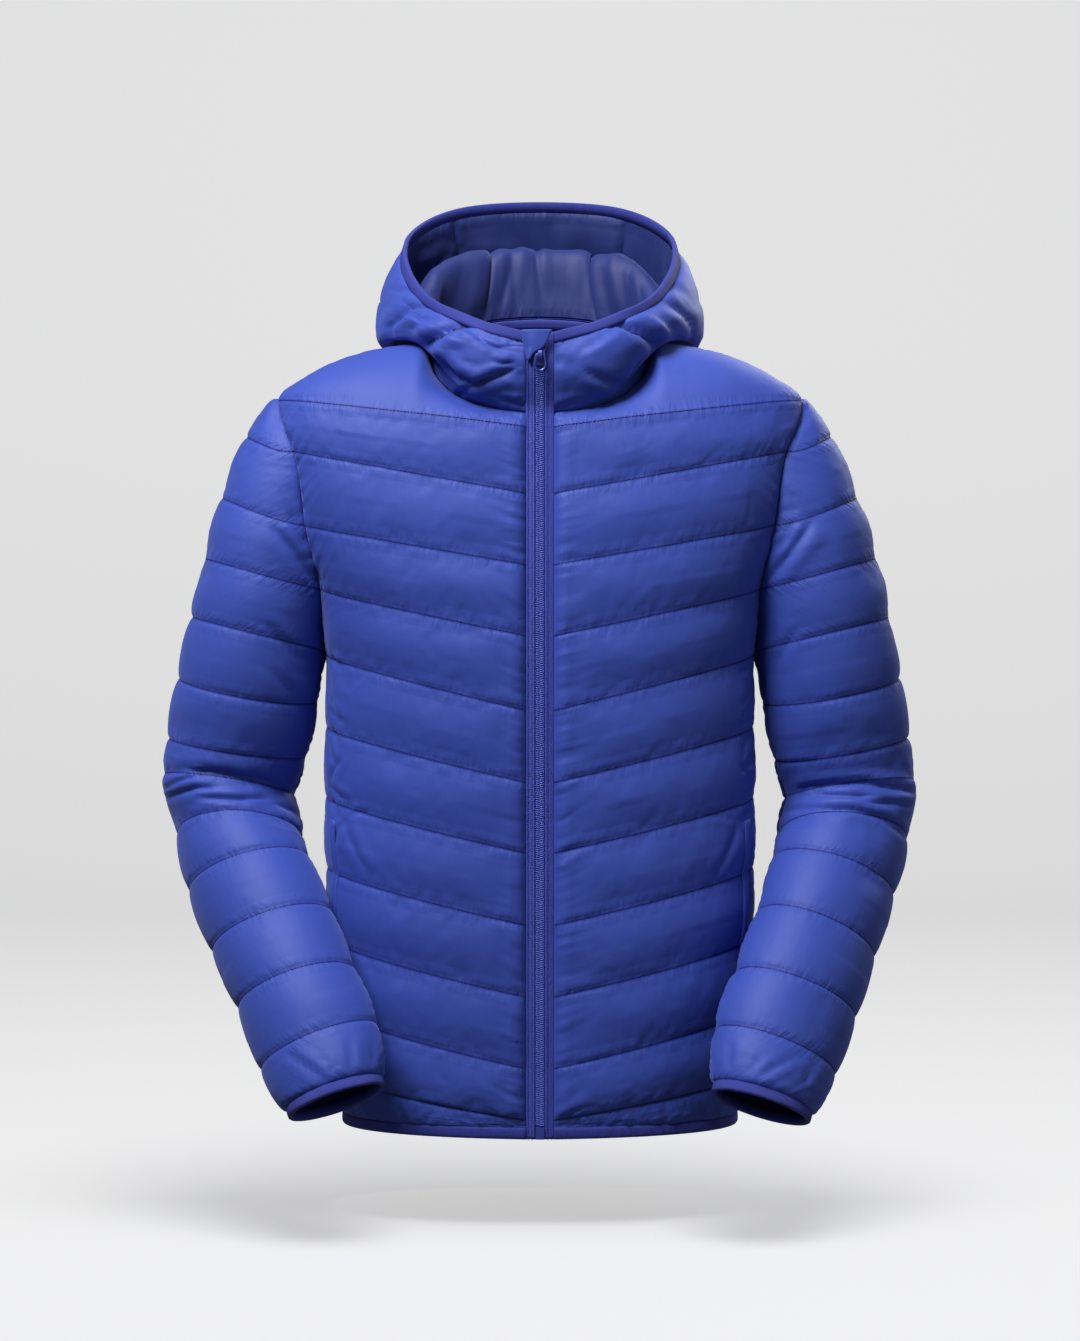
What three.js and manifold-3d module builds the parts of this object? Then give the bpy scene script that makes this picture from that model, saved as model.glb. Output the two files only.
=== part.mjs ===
import * as THREE from "three";
import { mergeVertices } from "three/addons/utils/BufferGeometryUtils.js";
import ManifoldModule from "manifold-3d";

// A hooded puffer jacket, zipped closed and filled out as if worn, with nobody in it.
// Millimetres. +Z is up, the front faces -Y, and +X is the wearer's left.
// The origin is at the base of the neck, midway between the shoulders.

const WALL = 2.4; // shell, wadding and lining pressed flat at a stitch line
const PUFF = 7.5; // how far a full channel rises above its stitch lines
const FULL_CHANNEL = 42; // a channel this tall or taller rises fully
const SEAM_GAP = 0.3; // between two pieces at the seam that joins them
const ROUNDNESS = 2.4; // exponent of the body's horizontal sections
const ZIP_HALF = 12; // from the middle of the zip to the front's edge
const TAPE_HALF = 11.7;
const CHAIN_HALF = 3.9;
const BAND_HEIGHT = 9; // elastic binding at hood, cuffs and hem
const ARMPIT_LINE = 5; // the body's quilt line that meets the armpit
const SLEEVE_JOINS = 4; // the sleeve's quilt line that meets the armpit
const NECK_AT = 0.28; // where the neck seam turns into the shoulder seam
const BACK_NECK_SHARE = 0.45; // the hood's share of turn behind the shoulders

const CLOTH_BLUE = 0x3a4ca6;
const BAND_BLUE = 0x28307c;
const METAL_BLUE = 0x30387f;

const named = (columns, rows) => {
  const keys = columns.split(" ");
  return rows.map((row) => Object.fromEntries(keys.map((key, i) => [key, row[i]])));
};

// The front's quilt lines: height at the zip and at the outer end, then the section there.
const FRONT_LINES = named("line middle edge half deep turn", [
  [1, -75, -46, 234, 97, 78.7],
  [2, -133, -92, 242, 104, 60.3],
  [3, -194.5, -156.6, 228.5, 110, 61.1],
  [4, -255.7, -212, 202.4, 112, 70.4],
  [5, -320, -268, 188.5, 112, 90],
  [6, -381.5, -332, 188, 111, 90],
  [7, -442, -394, 187.5, 110, 90],
  [8, -504, -456, 186.5, 110, 90],
  [9, -565.5, -518, 185, 109, 90],
  [10, -627, -580, 182, 108, 90],
  [11, -671, -638, 178, 107.5, 90],
  [12, -677, -674, 174, 107, 90],
]);

// The back's: its outer ends are the front's, so only the middle and the depth differ.
const BACK_LINES = named("line middle deep", [
  [1, -72, 88],
  [2, -125, 97],
  [3, -187, 101],
  [4, -247, 101],
  [5, -302, 99],
  [6, -364, 96],
  [7, -425, 95],
  [8, -486, 96],
  [9, -547, 98],
  [10, -608, 99],
  [11, -656, 99],
  [12, -677, 99],
]);

// Seams along the top, by the share of the way from the middle to the armhole.
const FRONT_NECK = named("at x y z", [
  [0, 12, -90, -61],
  [0.1, 48, -76, -54],
  [0.17, 75, -52, -42],
  [0.23, 94, -20, -20],
  [0.28, 102, 8, 10],
]);
const BACK_NECK = named("at x y z", [
  [0, 0, 68, 38],
  [0.08, 30, 66, 36.5],
  [0.14, 52, 59, 33],
  [0.22, 84, 38, 24],
  [0.28, 102, 8, 10],
]);
const SHOULDER = named("at x y z", [
  [0.28, 102, 8, 10],
  [0.45, 146, 7, 0],
  [0.62, 180, 5, -13],
  [0.8, 210, 2, -29.5],
  [1, 231, 0, -42],
]);

// Sleeve rings, one to a quilt line: the ring's outer and inner ends, its depth,
// how much its front stands above its back, and how far round it goes.
const RING = "line outX outZ inX inZ y deep lift turn";
const SLEEVE_RIGHT = named(RING, [
  [1, 257, -78, 165, -136, 0, 58, 0, 90],
  [2, 278.6, -131.7, 170.6, -182.9, 0, 66, 0, 115],
  [3, 293.7, -185, 178, -219, 0, 69, 0, 140],
  [4, 305, -236.8, 193, -264, 0, 67, 0, 180],
  [5, 316.8, -290.2, 198.5, -311.5, 0, 63, -6, 180],
  [6, 327, -343.7, 210, -360.6, 5, 60, -3, 180],
  [7, 331, -376, 222.2, -393.7, 8, 58, 8, 180],
  [8, 318.1, -428.8, 214.1, -432.3, -5, 56, 24, 180],
  [9, 304.2, -475.9, 207, -449.5, -32, 54, 20, 180],
  [10, 280.5, -525.7, 184.5, -495.3, -70, 51, 20, 180],
  [11, 254.6, -570.8, 162.8, -541.6, -108, 48, 19, 180],
  [12, 233.1, -620.2, 141.4, -585.3, -140, 44, 17, 180],
  [13, 212.4, -652.1, 133.3, -625.2, -169, 37, 13, 180],
]);
const SLEEVE_LEFT = named(RING, [
  [1, 255, -78, 165, -136, 0, 58, 0, 90],
  [2, 278, -131.7, 170.6, -182.9, 0, 66, 0, 115],
  [3, 294.5, -185, 178, -219, 0, 69, 0, 140],
  [4, 306.1, -236.8, 193, -264, 0, 67, 0, 180],
  [5, 315, -290.2, 198.5, -312.4, 0, 63, -6, 180],
  [6, 323.5, -343.7, 210.8, -363.3, 5, 60, -3, 180],
  [7, 329.2, -381.2, 221.3, -396.4, 8, 58, 8, 180],
  [8, 321.5, -434.1, 214.1, -429.7, -5, 56, 24, 180],
  [9, 306.3, -479.4, 208.7, -450.4, -32, 54, 20, 180],
  [10, 286, -531, 192.3, -495.3, -70, 51, 20, 180],
  [11, 266, -579.4, 169.6, -545, -108, 48, 19, 180],
  [12, 246.7, -624.4, 151.6, -589.6, -140, 44, 17, 180],
  [13, 227.3, -655.5, 146.8, -630.2, -169, 37, 13, 180],
]);
const CUFF_LINE = 13;
const HEM_LINE = 12;
const NEAR_SEAM = 0.985; // a sleeve's last place beside the underarm seam

// The hood, by the share of the way from the middle of the back (0) to the zip (1).
// It climbs from the neck seam to a roll, drops into a bag and climbs to the rim.
const HOOD_ROLL = named("at x y z", [
  [0, 0, 86, 93],
  [0.2, 42, 80, 92],
  [0.4, 84, 52, 82],
  [0.55, 104, 12, 46],
  [0.7, 89, -45, -7],
  [0.85, 61, -84, -37],
  [1, 12, -96, -46],
]);
const HOOD_BAG = named("at x y z", [
  [0, 0, 124, -10],
  [0.2, 64, 116, -9],
  [0.4, 118, 82, 1],
  [0.55, 138, 32, 12],
  [0.7, 111, -31, 9],
  [0.85, 67, -91, -20],
  [1, 12, -101, -30],
]);
const HOOD_WALL = named("at x y z", [
  [0, 0, 154, 60],
  [0.2, 68, 143, 60],
  [0.4, 124, 102, 56],
  [0.55, 142, 46, 45],
  [0.7, 116, -27, 27],
  [0.85, 66, -92, -2],
  [1, 12, -102, -15],
]);
const HOOD_RIM = named("at x y z", [
  [0, 0, 136, 143],
  [0.2, 73.5, 125, 136],
  [0.4, 118, 88, 110],
  [0.55, 124, 30, 77],
  [0.7, 102, -38, 39],
  [0.85, 57, -86, 13],
  [1, 12, -100, -1],
]);
const RIM = 4; // the hood's rows are counted from 0 at the neck seam to this at the rim
const HOOD_STITCHES = [0, 1.6, 3.1, RIM];
const CENTRE_STRIP = 0.225; // the hood's middle strip ends here on each side

const mix = (a, b, t) => a + (b - a) * t;
const radians = THREE.MathUtils.degToRad;
const vec = (x, y, z) => new THREE.Vector3(x, y, z);

const mirrored = (point, side) => vec(point.x * side, point.y, point.z);

// A smooth curve through one column of a table, by its first column.
function through(rows, key, at) {
  const by = Object.keys(rows[0])[0];
  let i = rows.findIndex((row) => row[by] > at) - 1;
  if (i === -2) i = rows.length - 2;
  i = Math.max(i, 0);
  const [a, b] = [rows[i], rows[i + 1]];
  const before = rows[i - 1] ?? a;
  const after = rows[i + 2] ?? b;
  const width = b[by] - a[by];
  const t = (at - a[by]) / width;
  const slopeA = ((b[key] - before[key]) / (b[by] - before[by])) * width;
  const slopeB = ((after[key] - a[key]) / (after[by] - a[by])) * width;
  const t2 = t * t;
  const t3 = t2 * t;
  return (
    (2 * t3 - 3 * t2 + 1) * a[key] +
    (t3 - 2 * t2 + t) * slopeA +
    (3 * t2 - 2 * t3) * b[key] +
    (t3 - t2) * slopeB
  );
}

const pointThrough = (rows, at) =>
  vec(through(rows, "x", at), through(rows, "y", at), through(rows, "z", at));

// Body

function neckOrShoulder(u, isBack) {
  if (u > NECK_AT) return pointThrough(SHOULDER, u);
  return pointThrough(isBack ? BACK_NECK : FRONT_NECK, u);
}

// A quilt line falls partly evenly across the garment's width and partly evenly round it.
const SLOPE_BY_WIDTH = 0.75;

function bodyRow(u, line, isBack) {
  const front = (key) => through(FRONT_LINES, key, line);
  const back = (key) => through(BACK_LINES, key, line);
  const power = 2 / ROUNDNESS;
  const half = front("half");
  const turn = radians(Math.min(front("turn"), 90));
  const start = isBack ? 0 : Math.asin((ZIP_HALF / half) ** (1 / power));
  const angle = mix(start, turn, u);
  const x = half * Math.sin(angle) ** power;
  const edgeX = half * Math.sin(turn) ** power;
  const share = mix(u, x / edgeX, SLOPE_BY_WIDTH);
  const middle = isBack ? back("middle") : front("middle");
  const deep = isBack ? back("deep") : -front("deep");
  const y = deep * Math.max(Math.cos(angle), 0) ** power;
  return vec(x, y, mix(middle, front("edge"), share));
}

// Above the first quilt line the cloth curves over the shoulder to the top seams,
// by way of a point that is this share of the way down.
const SHOULDER_BEND = { x: 0.5, y: 0.75, z: 0.2 };

function bodyPoint(u, line, isBack, retreat = SEAM_GAP / 2) {
  if (line >= 1) return bodyRow(u, line, isBack);
  const top = neckOrShoulder(u, isBack);
  const low = bodyRow(u, 1, isBack);
  const [bendX, bendY, bendZ] = ["x", "y", "z"].map((k) => mix(top[k], low[k], SHOULDER_BEND[k]));
  const bend = vec(bendX, bendY, bendZ);
  const away = bend.clone().sub(top).normalize();
  top.addScaledVector(away, retreat);
  return top
    .multiplyScalar((1 - line) ** 2)
    .addScaledVector(bend, 2 * line * (1 - line))
    .addScaledVector(low, line * line);
}

function crossOf(point, u, v, du, dv) {
  const along = point(u + du, v).sub(point(u - du, v));
  const down = point(u, v + dv).sub(point(u, v - dv));
  return along.cross(down);
}

const clampTo = (value, low, high) => Math.min(Math.max(value, low), high);
const fade = (value, from, to) => clampTo((value - from) / (to - from), 0, 1);

function bodyNormal(u, line, isBack) {
  const at = clampTo(u, 0.02, 0.995);
  const from = clampTo(line, 0.02, HEM_LINE - 0.02);
  const normal = crossOf((a, b) => bodyPoint(a, b, isBack), at, from, 0.004, 0.015).normalize();
  return isBack ? normal : normal.negate();
}

// Sleeves

function ringPoint(table, u, line) {
  const get = (key) => through(table, key, Math.max(line, 1));
  const angle = radians(Math.min(get("turn"), 180)) * u;
  const midX = (get("outX") + get("inX")) / 2;
  const midZ = (get("outZ") + get("inZ")) / 2;
  const wideX = (get("outX") - get("inX")) / 2;
  const wideZ = (get("outZ") - get("inZ")) / 2;
  const cos = Math.cos(angle);
  const sin = Math.sin(angle);
  return vec(
    midX + wideX * cos,
    get("y") - get("deep") * sin,
    midZ + wideZ * cos + get("lift") * sin,
  );
}

// The armhole seam, front (u > 0) and back, where a sleeve line or the cap's top meets it.
function armhole(u, line) {
  const bodyLine = line + ARMPIT_LINE - SLEEVE_JOINS;
  return bodyPoint(1, bodyLine, u < 0, 0);
}

function sleevePoint(table, u, line) {
  if (line > SLEEVE_JOINS) return ringPoint(table, u, line);
  const side = Math.sign(u) || 1;
  const seam = armhole(side, line);
  if (line >= 1) {
    const fix = seam.sub(ringPoint(table, side, line)).multiplyScalar(Math.abs(u) ** 4);
    return ringPoint(table, u, line).add(fix);
  }
  const top = bodyPoint(1, Math.abs(u), u < 0, 0);
  const ring = sleevePoint(table, u, 1);
  const straight = armhole(side, 0).lerp(armhole(side, 1), line);
  return top.lerp(ring, line).addScaledVector(seam.sub(straight), Math.abs(u) ** 4);
}

function sleeveNormal(table, u, line) {
  if (Math.abs(u) > NEAR_SEAM && line >= SLEEVE_JOINS) {
    const front = sleeveNormal(table, NEAR_SEAM, line);
    return front.add(sleeveNormal(table, -NEAR_SEAM, line)).normalize();
  }
  const at = clampTo(u, -NEAR_SEAM, NEAR_SEAM);
  const from = clampTo(line, 0.06, CUFF_LINE - 0.02);
  const normal = crossOf((a, b) => sleevePoint(table, a, b), at, from, 0.01, 0.03);
  return normal.normalize();
}

// Hood

function neckSeam(w) {
  const at = Math.abs(w);
  if (at <= BACK_NECK_SHARE) return pointThrough(BACK_NECK, (NECK_AT * at) / BACK_NECK_SHARE);
  return pointThrough(FRONT_NECK, (NECK_AT * (1 - at)) / (1 - BACK_NECK_SHARE));
}

function loopPoint(rows, w) {
  const mirrored = rows.slice(1).map((row) => ({ ...row, at: -row.at, x: -row.x }));
  return pointThrough([...mirrored.reverse(), ...rows], Math.abs(w));
}

function hoodPoint(w, t) {
  const above = [HOOD_ROLL, HOOD_BAG, HOOD_WALL, HOOD_RIM].map((rows) => loopPoint(rows, w));
  const loops = [neckSeam(w), ...above];
  loops[0].addScaledVector(loops[1].clone().sub(loops[0]).normalize(), 3 * SEAM_GAP);
  const rows = loops.map((p, i) => ({ at: i, x: p.x, y: p.y, z: p.z }));
  const point = pointThrough(rows, clampTo(t, 0, RIM));
  point.x *= w < 0 ? -1 : 1;
  return point;
}

function hoodNormal(w, t) {
  const at = clampTo(w, -0.99, 0.99);
  const from = clampTo(t, 0.03, RIM - 0.03);
  return crossOf(hoodPoint, at, from, 0.006, 0.02).normalize().negate();
}

// Seams

// Where pieces meet, their edge faces all turn along the mean of their normals.
const meanOf = (...normals) => normals.reduce((sum, n) => sum.add(n), vec(0, 0, 0)).normalize();

function shoulderDirection(u) {
  return meanOf(bodyNormal(u, 0, false), bodyNormal(u, 0, true));
}

function neckDirection(u, isBack) {
  const share = u / NECK_AT;
  const w = isBack ? BACK_NECK_SHARE * share : 1 - (1 - BACK_NECK_SHARE) * share;
  if (u === NECK_AT) return meanOf(shoulderDirection(u), hoodNormal(w, 0));
  return meanOf(bodyNormal(u, 0, isBack), hoodNormal(w, 0));
}

// Near the armpit the seam's edge faces turn down by this share of a normal.
const ARMPIT_DROOP = 0.4;

// The armhole's direction, by the body's line, on its front (side 1) or its back (side -1).
function armholeDirection(table, side, bodyLine) {
  if (bodyLine === 0) return meanOf(shoulderDirection(1), sleeveNormal(table, 0, 0));
  if (bodyLine < 1) {
    return meanOf(bodyNormal(1, bodyLine, side < 0), sleeveNormal(table, side * bodyLine, 0));
  }
  const sleeveLine = bodyLine - ARMPIT_LINE + SLEEVE_JOINS;
  const atArmpit = bodyLine > ARMPIT_LINE - 0.01;
  const body = atArmpit ? vec(1, 0, 0) : bodyNormal(1, bodyLine, side < 0);
  const droop = fade(sleeveLine, 2.5, SLEEVE_JOINS) * ARMPIT_DROOP;
  return meanOf(body, sleeveNormal(table, side, sleeveLine), vec(0, 0, -droop));
}

function bodyDirection(table, u, line, isBack) {
  if (u === 0 && !isBack) return bodyNormal(0, line, false).setX(0).normalize();
  if (u === 1 && line <= ARMPIT_LINE) return armholeDirection(table, isBack ? -1 : 1, line);
  if (u === 1) return meanOf(bodyNormal(1, line, false), bodyNormal(1, line, true));
  if (line === 0) return u > NECK_AT ? shoulderDirection(u) : neckDirection(u, isBack);
  return bodyNormal(u, line, isBack);
}

function sleeveDirection(table, u, line) {
  if (line === 0) return armholeDirection(table, Math.sign(u) || 1, Math.abs(u));
  if (Math.abs(u) === 1 && line <= SLEEVE_JOINS) return armholeDirection(table, u, line + 1);
  return sleeveNormal(table, u, line);
}

function hoodDirection(w, t) {
  if (Math.abs(w) === 1) return hoodNormal(w, t).setX(0).normalize();
  if (t > 0) return hoodNormal(w, t);
  const at = Math.abs(w);
  const isBack = at <= BACK_NECK_SHARE;
  const share = isBack ? at / BACK_NECK_SHARE : (1 - at) / (1 - BACK_NECK_SHARE);
  const u = Math.abs(at - BACK_NECK_SHARE) < 1e-6 ? NECK_AT : share * NECK_AT;
  return mirrored(neckDirection(u, isBack), w < 0 ? -1 : 1);
}

// Meshes

class Shell {
  points = [];
  faces = [];

  add(point) {
    return this.points.push(point) - 1;
  }

  face(a, b, c) {
    const [p, q, r] = [a, b, c].map((i) => this.points[i]);
    const area = q.clone().sub(p).cross(r.clone().sub(p)).length();
    if (area > 1e-5) this.faces.push([a, b, c]);
  }

  grid(rows, turned) {
    for (let r = 0; r + 1 < rows.length; r++) {
      for (let c = 0; c + 1 < rows[r].length; c++) {
        const quad = [rows[r][c], rows[r][c + 1], rows[r + 1][c + 1], rows[r + 1][c]];
        if (turned) quad.reverse();
        this.face(quad[0], quad[1], quad[2]);
        this.face(quad[0], quad[2], quad[3]);
      }
    }
  }

  // Joins two edges, each a list of [place along, point number], with a strip.
  strip(outer, inner, turned) {
    let [i, j] = [0, 0];
    while (i + 1 < outer.length || j + 1 < inner.length) {
      const nextOuter = outer[i + 1]?.[0] ?? Infinity;
      const nextInner = inner[j + 1]?.[0] ?? Infinity;
      const onOuter = nextOuter <= nextInner;
      const trio = [outer[i][1], inner[j][1]];
      if (onOuter) trio.unshift(outer[++i][1]);
      else trio.push(inner[++j][1]);
      if (turned) trio.reverse();
      this.face(...trio);
    }
  }

  geometry() {
    const flat = this.points.flatMap((p) => [p.x, p.y, p.z]);
    let volume = 0;
    for (const [a, b, c] of this.faces) {
      volume += this.points[a].dot(this.points[b].clone().cross(this.points[c]));
    }
    const order = volume < 0 ? this.faces.map(([a, b, c]) => [a, c, b]) : this.faces;
    const geometry = new THREE.BufferGeometry();
    geometry.setAttribute("position", new THREE.Float32BufferAttribute(flat, 3));
    geometry.setIndex(order.flat());
    return mergeVertices(geometry, 1e-3);
  }
}

const CHANNEL_ROWS = [0, 0.25, 0.75];
const HOOD_ROWS = [0, 0.18, 0.4, 0.62, 0.83];

function rowsBetween(stitches, shares) {
  const rows = [];
  for (let i = 0; i + 1 < stitches.length; i++) {
    for (const share of shares) rows.push(mix(stitches[i], stitches[i + 1], share));
  }
  return [...rows, stitches.at(-1)];
}

const counting = (from, to) => Array.from({ length: to - from + 1 }, (_, i) => from + i);

// How far the wadding lifts the outside, from 0 on a stitch line to PUFF mid-channel.
function rise(piece, u, v) {
  const { stitches, point, edges } = piece;
  if (edges.includes(u)) return 0;
  const below = stitches.findIndex((s) => s > v + 1e-9);
  if (below < 1) return 0;
  const [from, to] = [stitches[below - 1], stitches[below]];
  const height = point(u, from).distanceTo(point(u, to));
  const share = (v - from) / (to - from);
  const full = Math.min(height / FULL_CHANNEL, 1) * piece.fill(Math.abs(u), v);
  return PUFF * full * (1 - Math.abs(2 * share - 1) ** 3);
}

function quilted(piece) {
  const { us, vs, innerVs, point, normal } = piece;
  const shell = new Shell();
  const outerAt = (u, v) => point(u, v).addScaledVector(normal(u, v), rise(piece, u, v));
  const innerAt = (u, v) => point(u, v).addScaledVector(normal(u, v), -WALL);
  const outer = vs.map((v) => us.map((u) => shell.add(outerAt(u, v))));
  const inner = innerVs.map((v) => us.map((u) => shell.add(innerAt(u, v))));
  shell.grid(outer, false);
  shell.grid(inner, true);
  const across = (row) => us.map((u, i) => [u, row[i]]);
  shell.strip(across(outer[0]), across(inner[0]), false);
  shell.strip(across(outer.at(-1)), across(inner.at(-1)), true);
  const last = piece.sidesTo ?? Infinity;
  const along = (rows, places, c) =>
    rows.map((row, i) => [places[i], row.at(c)]).filter(([v]) => v <= last + 1e-9);
  shell.strip(along(outer, vs, 0), along(inner, innerVs, 0), true);
  shell.strip(along(outer, vs, -1), along(inner, innerVs, -1), false);
  return shell.geometry();
}

const FRONT_COLUMNS = [0, 0.03, 0.1, 0.17, 0.23, 0.28, 0.4, 0.52, 0.64, 0.72, 0.76, 0.88, 0.97, 1];
const BACK_COLUMNS = [0, 0.08, 0.14, 0.18, 0.22, 0.28, 0.42, 0.56, 0.7, 0.84, 0.96, 1];
const SLEEVE_COLUMNS = [0, 0.13, 0.26, 0.39, 0.52, 0.65, 0.8, 0.94, 1];
const bothSides = (columns) => [...columns.slice(1).map((u) => -u).reverse(), ...columns];

// A body piece's edge steps back from its seam by half the gap, as a share of its width round.
const PIECE_ROUND = 300;
const SIDE_RETREAT = SEAM_GAP / 2 / PIECE_ROUND;

// Wadding is squeezed where a sleeve or the hood presses on the body: 1 is free.
// Each range goes from where the squeeze starts to where it is whole.
const PRESSED_AT_ARMPIT = 0.97;
const BODY_PRESSED = { side: [0.74, 0.98], above: [2.2, 4], below: [7.5, 5.5], elsewhere: 0.45 };
const NECK_PRESSED = { side: [0.5, 0.3], most: 0.65 };
const SLEEVE_PRESSED = { side: [0.5, 0.9], above: [0.5, 3], below: [7, 5], cap: 0.6, arm: 0.1 };
const HOOD_PRESSED = { behind: [0.3, 0.45], front: [1, 0.8], up: [3, 1.4], most: 0.75 };

function bodyFill(u, line) {
  const beside = fade(u, ...BODY_PRESSED.side);
  const armpit = Math.min(fade(line, ...BODY_PRESSED.above), fade(line, ...BODY_PRESSED.below));
  const neck = line < 1 ? NECK_PRESSED.most * fade(u, ...NECK_PRESSED.side) : 0;
  return 1 - Math.max(beside * mix(BODY_PRESSED.elsewhere, PRESSED_AT_ARMPIT, armpit), neck);
}

function sleeveFill(u, line) {
  const beside = fade(u, ...SLEEVE_PRESSED.side);
  const armpit = Math.min(fade(line, ...SLEEVE_PRESSED.above), fade(line, ...SLEEVE_PRESSED.below));
  const elsewhere = line < SLEEVE_JOINS ? SLEEVE_PRESSED.cap : SLEEVE_PRESSED.arm;
  return 1 - beside * mix(elsewhere, PRESSED_AT_ARMPIT, armpit);
}

function hoodFill(w, t) {
  const side = Math.min(fade(w, ...HOOD_PRESSED.behind), fade(w, ...HOOD_PRESSED.front));
  return 1 - HOOD_PRESSED.most * side * fade(t, ...HOOD_PRESSED.up);
}

function bodyPiece(us, isBack, sideOf, tables) {
  const point = (u, v) => {
    const at = Math.abs(u) * (1 - SIDE_RETREAT);
    return mirrored(bodyPoint(at, v, isBack), sideOf(u));
  };
  const normal = (u, v) => {
    const direction = bodyDirection(tables(sideOf(u)), Math.abs(u), v, isBack);
    return mirrored(direction, sideOf(u));
  };
  const stitches = counting(0, HEM_LINE);
  const vs = rowsBetween(stitches, CHANNEL_ROWS);
  const edges = isBack ? [-1, 1] : [0, 1];
  return { us, vs, innerVs: stitches, point, normal, stitches, edges, fill: bodyFill };
}

function sleevePiece(table, side) {
  const point = (u, v) => {
    const own = sleevePoint(table, u, v);
    if (v === 0) own.x += 2 * SEAM_GAP;
    else if (v <= SLEEVE_JOINS && Math.abs(u) === 1) own.x += SEAM_GAP / 2;
    return mirrored(own, side);
  };
  const normal = (u, v) => mirrored(sleeveDirection(table, u, v), side);
  const us = bothSides(SLEEVE_COLUMNS);
  const stitches = counting(0, CUFF_LINE);
  const vs = rowsBetween(stitches, CHANNEL_ROWS);
  const rest = { stitches, edges: [-1, 1], sidesTo: SLEEVE_JOINS, fill: sleeveFill };
  return { us, vs, innerVs: stitches, point, normal, ...rest };
}

// The hood's columns are the body's, so that both sides of the neck seam match.
function hoodColumns() {
  const front = FRONT_COLUMNS.filter((u) => u <= NECK_AT);
  const back = BACK_COLUMNS.filter((u) => u <= NECK_AT);
  const fromFront = front.map((u) => 1 - ((1 - BACK_NECK_SHARE) * u) / NECK_AT);
  const fromBack = back.map((u) => (BACK_NECK_SHARE * u) / NECK_AT);
  const rounded = [...fromBack, ...fromFront].map((w) => Number(w.toFixed(6)));
  return [...new Set(rounded)].sort((a, b) => a - b);
}

function hoodPiece(us) {
  const vs = rowsBetween(HOOD_STITCHES, HOOD_ROWS);
  const edges = [us[0], us.at(-1)];
  const rest = { stitches: HOOD_STITCHES, edges, fill: hoodFill };
  return { us, vs, innerVs: vs, point: hoodPoint, normal: hoodDirection, ...rest };
}

// A binding's section: the share of its height, then of how far it stands out.
const BAND_SECTION = named("up out", [
  [0, 0.7],
  [0.3, 1],
  [0.75, 1],
  [1, 0.5],
]);
const BAND_INWARD = 2.8;
const BAND_OUT = 1.4;
const CUFF_OUT = 1.2;

// A narrow band along an edge: path points, and at each the way on and the way out.
function band(stations, out, closed) {
  const shell = new Shell();
  const outer = BAND_SECTION.map((row) => [BAND_HEIGHT * row.up, out * row.out]);
  const section = [[0, -BAND_INWARD], ...outer, [BAND_HEIGHT, -BAND_INWARD]];
  const rings = stations.map(({ at, on, away }) =>
    section.map(([along, off]) => {
      const corner = at.clone().addScaledVector(on, along);
      return shell.add(corner.addScaledVector(away, off));
    }),
  );
  const loops = rings.map((ring) => [...ring, ring[0]]);
  if (closed) loops.push(loops[0]);
  shell.grid(loops, false);
  if (!closed) {
    const fan = (ring, turned) => {
      for (let i = 1; i + 1 < ring.length; i++) {
        const trio = [ring[0], ring[i], ring[i + 1]];
        shell.face(...(turned ? trio.reverse() : trio));
      }
    };
    fan(rings[0], true);
    fan(rings.at(-1), false);
  }
  return shell.geometry();
}

const EDGE_STEP = 0.05;
function edgeStation(point, normal, u, v) {
  const at = point(u, v);
  const on = at.clone().sub(point(u, v - EDGE_STEP)).normalize();
  return { at: at.addScaledVector(on, SEAM_GAP), on, away: normal(u, v) };
}

const tables = (side) => (side < 0 ? SLEEVE_RIGHT : SLEEVE_LEFT);
const signOf = (u) => (u < 0 ? -1 : 1);

const frontRight = bodyPiece(FRONT_COLUMNS, false, () => -1, tables);
const frontLeft = bodyPiece(FRONT_COLUMNS, false, () => 1, tables);
const backPiece = bodyPiece(bothSides(BACK_COLUMNS), true, signOf, tables);
const sleeves = { right: sleevePiece(SLEEVE_RIGHT, -1), left: sleevePiece(SLEEVE_LEFT, 1) };

// Half the gap of the hood's two long seams, and the least step beside them, in turns round.
const HOOD_SEAM = 0.0005;
const LEAST_STEP = 0.01;
const hoodWs = hoodColumns();
const stripWs = hoodWs.filter((w) => w < CENTRE_STRIP - LEAST_STEP);
const sideWs = [CENTRE_STRIP + HOOD_SEAM, ...hoodWs.filter((w) => w > CENTRE_STRIP + LEAST_STEP)];
const centreWs = bothSides([...stripWs, CENTRE_STRIP - HOOD_SEAM]);

const cloth = new THREE.MeshStandardMaterial({ color: CLOTH_BLUE, roughness: 0.55 });
const binding = new THREE.MeshStandardMaterial({ color: BAND_BLUE, roughness: 0.7 });
const metal = new THREE.MeshStandardMaterial({ color: METAL_BLUE, roughness: 0.4 });

const group = new THREE.Group();
function place(name, geometry, material) {
  const mesh = new THREE.Mesh(geometry, material.clone());
  mesh.name = name;
  group.add(mesh);
}

place("front_right", quilted(frontRight), cloth);
place("front_left", quilted(frontLeft), cloth);
place("back", quilted(backPiece), cloth);
place("sleeve_right", quilted(sleeves.right), cloth);
place("sleeve_left", quilted(sleeves.left), cloth);
place("hood_centre", quilted(hoodPiece(centreWs)), cloth);
place("hood_side_left", quilted(hoodPiece(sideWs)), cloth);
place("hood_side_right", quilted(hoodPiece(sideWs.map((w) => -w).reverse())), cloth);

// Bindings

const rimStations = bothSides(hoodWs).map((w) => edgeStation(hoodPoint, hoodNormal, w, RIM));
place("hood_binding", band(rimStations, BAND_OUT, false), binding);

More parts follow.
